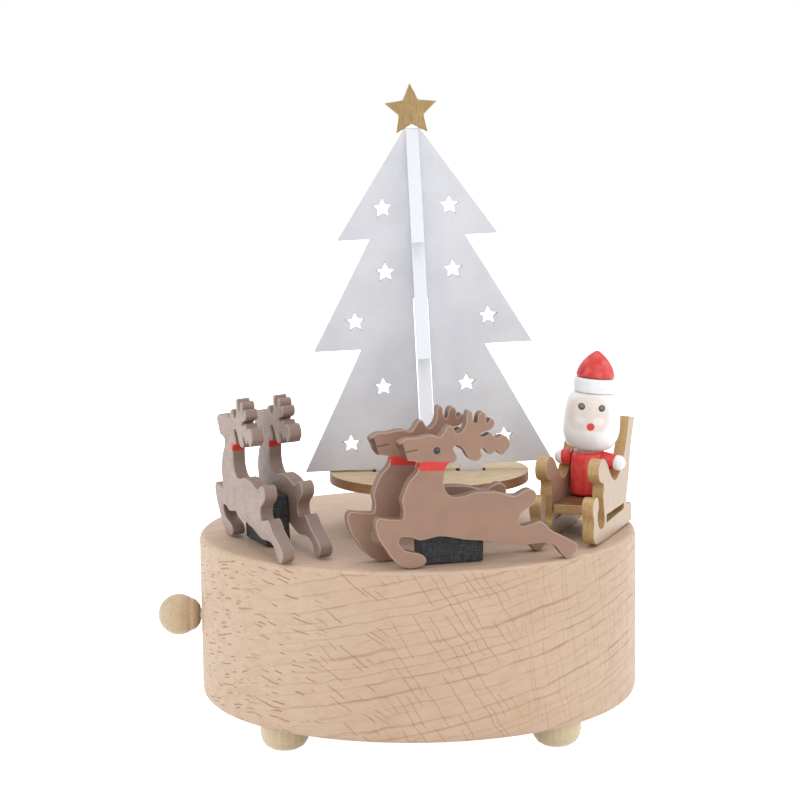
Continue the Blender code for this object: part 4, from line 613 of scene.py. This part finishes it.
# CAD nodes that show as they are, with their materials
DRESSED = {
    BEECH: ("base_block",),
    KNOB_WOOD: ("winding_knob", "disc_hub"),
    COVER_WOOD: ("bottom_cover",),
    FOOT_WOOD: ("foot_1", "foot_2", "foot_3", "foot_4"),
    BRASS: ("arbor_bush", "spindle_bush", "barrel_cap", "comb_block", "cylinder_gear",
            "cylinder_pinion", "governor_fan", "governor_wheel", "pinned_cylinder",
            "spring_barrel"),
    STEEL: ("bedplate_screw_1", "bedplate_screw_2", "comb", "comb_screw_1", "comb_screw_2",
            "cover_screw_1", "cover_screw_2", "cover_screw_3", "governor_frame",
            "governor_screw", "governor_worm", "lower_bridge", "mainspring",
            "movement_bedplate", "spindle", "winding_arbor"),
}


# Geometry

def node_mesh(node, place):
    """Copy a CAD node's mesh into a piece's own frame and weld it."""
    made = bmesh.new()
    made.from_mesh(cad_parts[node].data)
    made.transform(place.inverted())
    bmesh.ops.remove_doubles(made, verts=made.verts, dist=WELD)
    return made


def baked(made, name):
    """Turn the working mesh into a mesh of its own and free it."""
    mesh = bpy.data.meshes.new(name)
    made.to_mesh(mesh)
    made.free()
    return mesh


def highest(point):
    return point.z, point.x


def cap_loops(made):
    """Closed outlines of the flat face on the low side of Y, ordered by their places."""
    made.faces.ensure_lookup_table()
    made.normal_update()
    deepest = min(v.co.y for v in made.verts) + CAP_DEPTH
    caps = {f for f in made.faces if f.normal.y < -0.99 and f.calc_center_median().y < deepest}
    links = {}
    for face in caps:
        for loop in face.loops:
            others = [f for f in loop.edge.link_faces if f is not face]
            if not others or others[0] not in caps:
                links[loop.vert] = loop.link_loop_next.vert
    outlines = []
    while links:
        at = next(iter(links))
        outline = []
        while at in links:
            outline.append(at.co.copy())
            at = links.pop(at)
        first = outline.index(max(outline, key=highest))
        outlines.append(outline[first:] + outline[:first])
    return sorted(outlines, key=lambda outline: highest(outline[0]))


def refined(points, steps, corner):
    """Smooth a closed outline between its corners, with Hermite arcs over the long steps."""
    count = len(points)
    sharp, tangents = [], []
    for i in range(count):
        before = points[i] - points[i - 1]
        after = points[(i + 1) % count] - points[i]
        doubled = before.length < 1e-9 or after.length < 1e-9
        sharp.append(doubled or before.angle(after) > corner)
        tangents.append((points[(i + 1) % count] - points[i - 1]) / 2)
    result = []
    for i in range(count):
        j = (i + 1) % count
        a, b = points[i], points[j]
        span = (b - a).length
        result.append(a)
        if span < SHORT_STEP:
            continue
        start = (b - a) if sharp[i] else tangents[i].normalized() * span
        end = (b - a) if sharp[j] else tangents[j].normalized() * span
        for k in range(1, steps):
            t = k / steps
            result.append((2 * t ** 3 - 3 * t ** 2 + 1) * a + (t ** 3 - 2 * t ** 2 + t) * start
                          + (3 * t ** 2 - 2 * t ** 3) * b + (t ** 3 - t ** 2) * end)
    return result


def finish_piece(node, mesh, place, body, material, smooth=40):
    """Link a piece, shade it, dress it and let it stand for its CAD node."""
    mesh.shade_smooth()
    mesh.set_sharp_from_angle(angle=math.radians(smooth))
    piece = bpy.data.objects.new(f"{node}_shown", mesh)
    bpy.context.scene.collection.objects.link(piece)
    piece.matrix_world = place
    mesh.materials.clear()
    mesh.materials.append(material)
    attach(piece, body)
    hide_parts(node)
    return piece


def ease(piece, width, angle=50):
    """Round the edges a little."""
    bevel = piece.modifiers.new("Edge", "BEVEL")
    bevel.width = width
    bevel.segments = 3
    bevel.limit_method = "ANGLE"
    bevel.angle_limit = math.radians(angle)
    bevel.use_clamp_overlap = True
    even = piece.modifiers.new("Even faces", "WEIGHTED_NORMAL")
    even.mode = "FACE_AREA"
    even.keep_sharp = True


def panel(node, place, thickness, edge, body, material, steps=3, corner=38):
    """Flat piece cut from sheet, rebuilt from its CAD outline with smoother curves and eased edges.

    In its own frame the sheet lies in XZ, from y = 0 to y = thickness.
    """
    made = node_mesh(node, place)
    outlines = cap_loops(made)
    made.free()
    curve = bpy.data.curves.new(f"{node}_outline", "CURVE")
    curve.dimensions = "2D"
    curve.fill_mode = "BOTH"
    curve.extrude = thickness / 2
    for outline in outlines:
        flat = [Vector((p.x, p.z, 0)) for p in outline]
        fine = refined(flat, steps, math.radians(corner)) if steps > 1 else flat
        spline = curve.splines.new("POLY")
        spline.points.add(len(fine) - 1)
        for point, spot in zip(spline.points, fine):
            point.co = (*spot, 1)
        spline.use_cyclic_u = True
    holder = bpy.data.objects.new(f"{node}_outline", curve)
    mesh = bpy.data.meshes.new_from_object(holder)
    bpy.data.objects.remove(holder)
    bpy.data.curves.remove(curve)
    work = bmesh.new()
    work.from_mesh(mesh)
    bmesh.ops.remove_doubles(work, verts=work.verts, dist=WELD)
    upright = Matrix.Rotation(math.pi / 2, 3, "X")
    bmesh.ops.rotate(work, cent=(0, 0, 0), matrix=upright, verts=work.verts)
    bmesh.ops.translate(work, vec=(0, thickness / 2, 0), verts=work.verts)
    bmesh.ops.recalc_face_normals(work, faces=work.faces)
    bmesh.ops.dissolve_limit(work, angle_limit=math.radians(0.5), verts=work.verts,
                             edges=work.edges)
    work.to_mesh(mesh)
    work.free()
    mesh.name = f"{node}_shown"
    ease(finish_piece(node, mesh, place, body, material), edge)


def block(node, place, edge, body, material, change=None):
    """A sawn block or plank with eased edges."""
    made = node_mesh(node, place)
    if change:
        made.transform(change)
    bmesh.ops.dissolve_limit(made, angle_limit=math.radians(1), verts=made.verts,
                             edges=made.edges)
    mesh = baked(made, f"{node}_shown")
    ease(finish_piece(node, mesh, place, body, material), edge)


def lathe(name, profile, steps):
    """Turn a profile about Z; it runs from the top down."""
    made = bmesh.new()
    verts = [made.verts.new((r, 0, z)) for r, z in profile]
    edges = [made.edges.new(pair) for pair in zip(verts, verts[1:])]
    bmesh.ops.spin(made, geom=verts + edges, cent=(0, 0, 0), axis=(0, 0, 1), angle=2 * math.pi,
                   steps=steps, use_merge=True)
    bmesh.ops.remove_doubles(made, verts=made.verts, dist=1e-6)
    bmesh.ops.recalc_face_normals(made, faces=made.faces)
    return baked(made, name)


def turned(node, profile, place, material, slot, steps=72):
    """A turned piece of the doll."""
    mesh = lathe(f"{node}_shown", profile, steps)
    finish_piece(node, mesh, place, "base", material, smooth=50)


def smooth_outline(points, steps):
    """Smooth outline through a few points, by Catmull-Rom arcs."""
    full = [points[0], *points, points[-1]]
    result = []
    for i in range(1, len(full) - 2):
        p0, p1, p2, p3 = (Vector(full[i + k]) for k in (-1, 0, 1, 2))
        for k in range(steps):
            t = k / steps
            spot = 0.5 * ((2 * p1) + (p2 - p0) * t + (2 * p0 - 5 * p1 + 4 * p2 - p3) * t ** 2
                          + (3 * p1 - p0 - 3 * p2 + p3) * t ** 3)
            result.append((max(spot.x, 0.0), spot.y))
    result.append(points[-1])
    return result


def closed_profile(points, lift, steps, tip=0.0):
    """An outline in millimetres, lifted and closed to the axis at its top and its foot."""
    line = [(0, points[0][1] + tip)] + smooth_outline(points, steps) + [(0, points[-1][1])]
    return [(reach * MM, (height + lift) * MM) for reach, height in line]


def head_radius(height):
    """Radius of the oval head at a height above its chin."""
    share, end = (HEAD_WIDEST - height) / HEAD_WIDEST, CHIN_RADIUS
    if height > HEAD_WIDEST:
        share, end = (height - HEAD_WIDEST) / (HEAD_HEIGHT - HEAD_WIDEST), CROWN_RADIUS
    reach = math.sqrt(HEAD_RADIUS ** 2 - share ** 2 * (HEAD_RADIUS ** 2 - end ** 2))
    crown = max(0.0, 1 - (HEAD_HEIGHT - height) / CROWN_DEPTH)
    return reach * (1 - CROWN_NARROWING * crown ** 2)


def head_profile(steps=36):
    """The head's side from its crown down to its chin, with rounded edges at both ends."""
    crown = head_radius(HEAD_HEIGHT)
    points = [(0, HEAD_HEIGHT), (crown - HEAD_EDGE, HEAD_HEIGHT),
              (crown - 0.3 * HEAD_EDGE, HEAD_HEIGHT - 0.3 * HEAD_EDGE)]
    for step in range(steps + 1):
        height = HEAD_HEIGHT - HEAD_EDGE - (HEAD_HEIGHT - 2 * HEAD_EDGE) * step / steps
        points.append((head_radius(height), height))
    points += [(CHIN_RADIUS - 0.2 * HEAD_EDGE, 0.3 * HEAD_EDGE), (CHIN_RADIUS - HEAD_EDGE, 0),
               (0, 0)]
    return [(reach, height + HEAD_LIFT) for reach, height in points]


def ball_profile(radius, steps=24):
    way = [math.pi * step / steps for step in range(steps + 1)]
    return [(radius * math.sin(angle), radius * math.cos(angle)) for angle in way]


# The object's groups

def dress_cad():
    """Materials for the CAD nodes that show as they are."""
    for material, nodes in DRESSED.items():
        for node in nodes:
            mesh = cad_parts[node].data
            mesh.materials.clear()
            mesh.materials.append(material)


def make_turntable():
    """Disc, the two tree panels and the star."""
    disc = shift(TURNTABLE_X, 0, DISC_TOP - DISC_THICKNESS) @ turn(math.pi / 2, "X")
    panel("turntable_disc", disc, DISC_THICKNESS, DISC_EDGE, "turntable", DISC_WOOD,
          corner=30)
    tree = shift(TURNTABLE_X, 0, DISC_TOP + TREE_LIFT) @ turn(-TREE_LEAN, "Y")
    half = shift(0, -PANEL_THICKNESS / 2, 0)
    for node, way in (("tree_panel_wide", 0.0), ("tree_panel_deep", math.pi / 2)):
        panel(node, tree @ turn(way, "Z") @ half, PANEL_THICKNESS, TREE_EDGE, "turntable", WHITE,
              steps=1)
    grown = Matrix.Diagonal((STAR_GROWTH, 1, STAR_GROWTH, 1))
    astride = shift(0, 0, STAR_CENTRE - STAR_DROP) @ grown @ shift(0, 0, -STAR_CENTRE)
    block("tree_star", tree @ shift(0, -STAR_THICKNESS / 2, 0), STAR_EDGE, "turntable", STAR_GOLD,
          astride)


def make_deer():
    """Two pairs of deer with their blocks."""
    for pair, (spot, angle, stagger, lean) in DEER_PAIRS.items():
        place = on_base(*spot, angle)
        tilt = turn(lean, "X")
        inner = shift(-stagger, DEER_THICKNESS / math.cos(lean) + 2 * GAP + BLOCK_WIDTH, 0)
        for side, start in (("outer", place), ("inner", place @ inner)):
            panel(f"{pair}_deer_{side}", start @ tilt, DEER_THICKNESS, DEER_EDGE, "base",
                  DEER_BROWN[pair])
        block(f"{pair}_deer_block", place, BLOCK_EDGE, "base", BLACK)


def make_sleigh():
    """Side panels, seat and block."""
    place = on_base(*SLEIGH_PLACE, SLEIGH_TURN)
    for side, reach in (("outer", 0.0), ("inner", SLEIGH_SPACING)):
        panel(f"sleigh_side_{side}", place @ shift(0, reach, 0), SIDE_THICKNESS, SLEIGH_EDGE,
              "base", SLEIGH_GOLD)
    block("sleigh_seat", place, SEAT_EDGE, "base", SEAT_GOLD_PAINTED_SHADE)
    block("seat_block", place, BLOCK_EDGE, "base", BLACK)


def make_doll():
    """Seated turned doll."""
    doll = shift(*DOLL_SEAT)
    neck = doll @ shift(0, 0, NECK_HEIGHT) @ turn(NECK_LEAN, "Y")
    head_top = (HEAD_HEIGHT + HEAD_LIFT) / MM
    hat_foot = head_top + HAT_OVER_HEAD
    turned("doll_body", closed_profile(BODY_OUTLINE, 0.0, 4), doll, BODY_RED, "red_paint")
    turned("doll_head", head_profile(), neck, FACE_PAINT, "pale_paint")
    turned("doll_hat_band", closed_profile(BAND_OUTLINE, head_top, 6), neck, LACQUER,
           "pale_paint")
    turned("doll_hat", closed_profile(HAT_OUTLINE, hat_foot, 5, HAT_TIP), neck, HAT_RED,
           "red_paint")
    for side, (spot, radius) in HANDS.items():
        node = f"doll_arm_{side}"
        mesh = baked(node_mesh(node, doll), f"{node}_shown")
        ease(finish_piece(node, mesh, doll, "base", ARM_RED, smooth=50), ARM_EDGE, 45)
        turned(f"doll_hand_{side}", ball_profile(radius), doll @ shift(*spot), LACQUER,
               "pale_paint", 40)


# Studio

FLOOR_HEIGHT, FLOOR_REACH = -0.0069, 6.0
SURROUND_LIGHT = 0.68      # the world's light on the object; what is seen of it is plain white
# Name, place, aim, size and power of the soft lamps
LAMPS = (
    ("front_lamp", (0.25, -1.1, 0.75), (0, 0, 0.06), 0.9, 3.2),
    ("left_lamp", (-1.15, -0.2, 0.5), (0, 0, 0.06), 1.0, 3.9),
    ("right_lamp", (1.15, -0.15, 0.55), (0, 0, 0.06), 1.0, 4.0),
    ("top_lamp", (0.0, 0.25, 1.3), (0, 0, 0.05), 0.9, 3.1),
)
CAMERA_TILT, CAMERA_ROLL = math.radians(8.08), math.radians(-0.80)
CAMERA_AIM = (-0.00412, 0, 0.07702)
CAMERA_DISTANCE = 0.6442
CAMERA_LENS, SENSOR_WIDTH = 110.29, 36.0


def seen(nodes, links):
    """1 for what the camera sees, also by way of gloss or glass, and 0 for light on the object."""
    rays = nodes.new("ShaderNodeLightPath")
    either = rays.outputs["Is Camera Ray"]
    for kind in ("Is Glossy Ray", "Is Transmission Ray"):
        node = nodes.new("ShaderNodeMath")
        node.operation = "MAXIMUM"
        links.new(either, node.inputs[0])
        links.new(rays.outputs[kind], node.inputs[1])
        either = node.outputs[0]
    return either


def make_floor():
    """Pale floor that is seen white and keeps the object's light."""
    look = Look("floor_pale", roughness=0.9, specular=0.1)
    look.set("Base Color", look.mix(look.grain(0.02), (250, 250, 250), (246, 246, 247)))
    look.set("Emission Color", (1.0, 1.0, 1.0, 1.0))
    look.set("Emission Strength", seen(look.nodes, look.links))
    made = bmesh.new()
    bmesh.ops.create_grid(made, x_segments=2, y_segments=2, size=FLOOR_REACH)
    mesh = baked(made, "floor")
    mesh.materials.append(look.material)
    floor = bpy.data.objects.new("floor", mesh)
    floor.location = (0, 0, FLOOR_HEIGHT)
    bpy.context.scene.collection.objects.link(floor)


def make_lamps():
    """Soft lamps around the object."""
    for name, spot, aim, size, power in LAMPS:
        lamp = bpy.data.lights.new(name, "AREA")
        lamp.energy = power
        lamp.size = size
        holder = bpy.data.objects.new(name, lamp)
        holder.location = spot
        way = Vector(aim) - Vector(spot)
        holder.rotation_euler = way.to_track_quat("-Z", "Y").to_euler()
        bpy.context.scene.collection.objects.link(holder)


def make_world():
    """Even surroundings, seen white."""
    world = bpy.data.worlds.new("studio")
    bpy.context.scene.world = world
    world.use_nodes = True
    nodes, links = world.node_tree.nodes, world.node_tree.links
    strength = nodes.new("ShaderNodeMapRange")
    strength.inputs["To Min"].default_value = SURROUND_LIGHT
    strength.inputs["To Max"].default_value = 1.0
    links.new(seen(nodes, links), strength.inputs["Value"])
    sky = nodes["Background"]
    sky.inputs["Color"].default_value = (1.0, 1.0, 1.0, 1.0)
    links.new(strength.outputs["Result"], sky.inputs["Strength"])


def make_camera():
    """Camera at the photograph's angle."""
    back = Vector((0, -math.cos(CAMERA_TILT), math.sin(CAMERA_TILT)))
    side = Vector((1, 0, 0))
    up = back.cross(side)
    right = math.cos(CAMERA_ROLL) * side + math.sin(CAMERA_ROLL) * up
    above = -math.sin(CAMERA_ROLL) * side + math.cos(CAMERA_ROLL) * up
    place = Matrix.Translation(Vector(CAMERA_AIM) + back * CAMERA_DISTANCE)
    camera = bpy.data.cameras.new("camera")
    camera.lens = CAMERA_LENS
    camera.sensor_width = SENSOR_WIDTH
    camera.clip_start = 0.01
    holder = bpy.data.objects.new("camera", camera)
    holder.matrix_world = place @ Matrix((right, above, back)).transposed().to_4x4()
    bpy.context.scene.collection.objects.link(holder)
    bpy.context.scene.camera = holder


dress_cad()
make_turntable()
make_deer()
make_sleigh()
make_doll()
make_floor()
make_lamps()
make_world()
make_camera()
bpy.context.scene.view_settings.view_transform = "Standard"
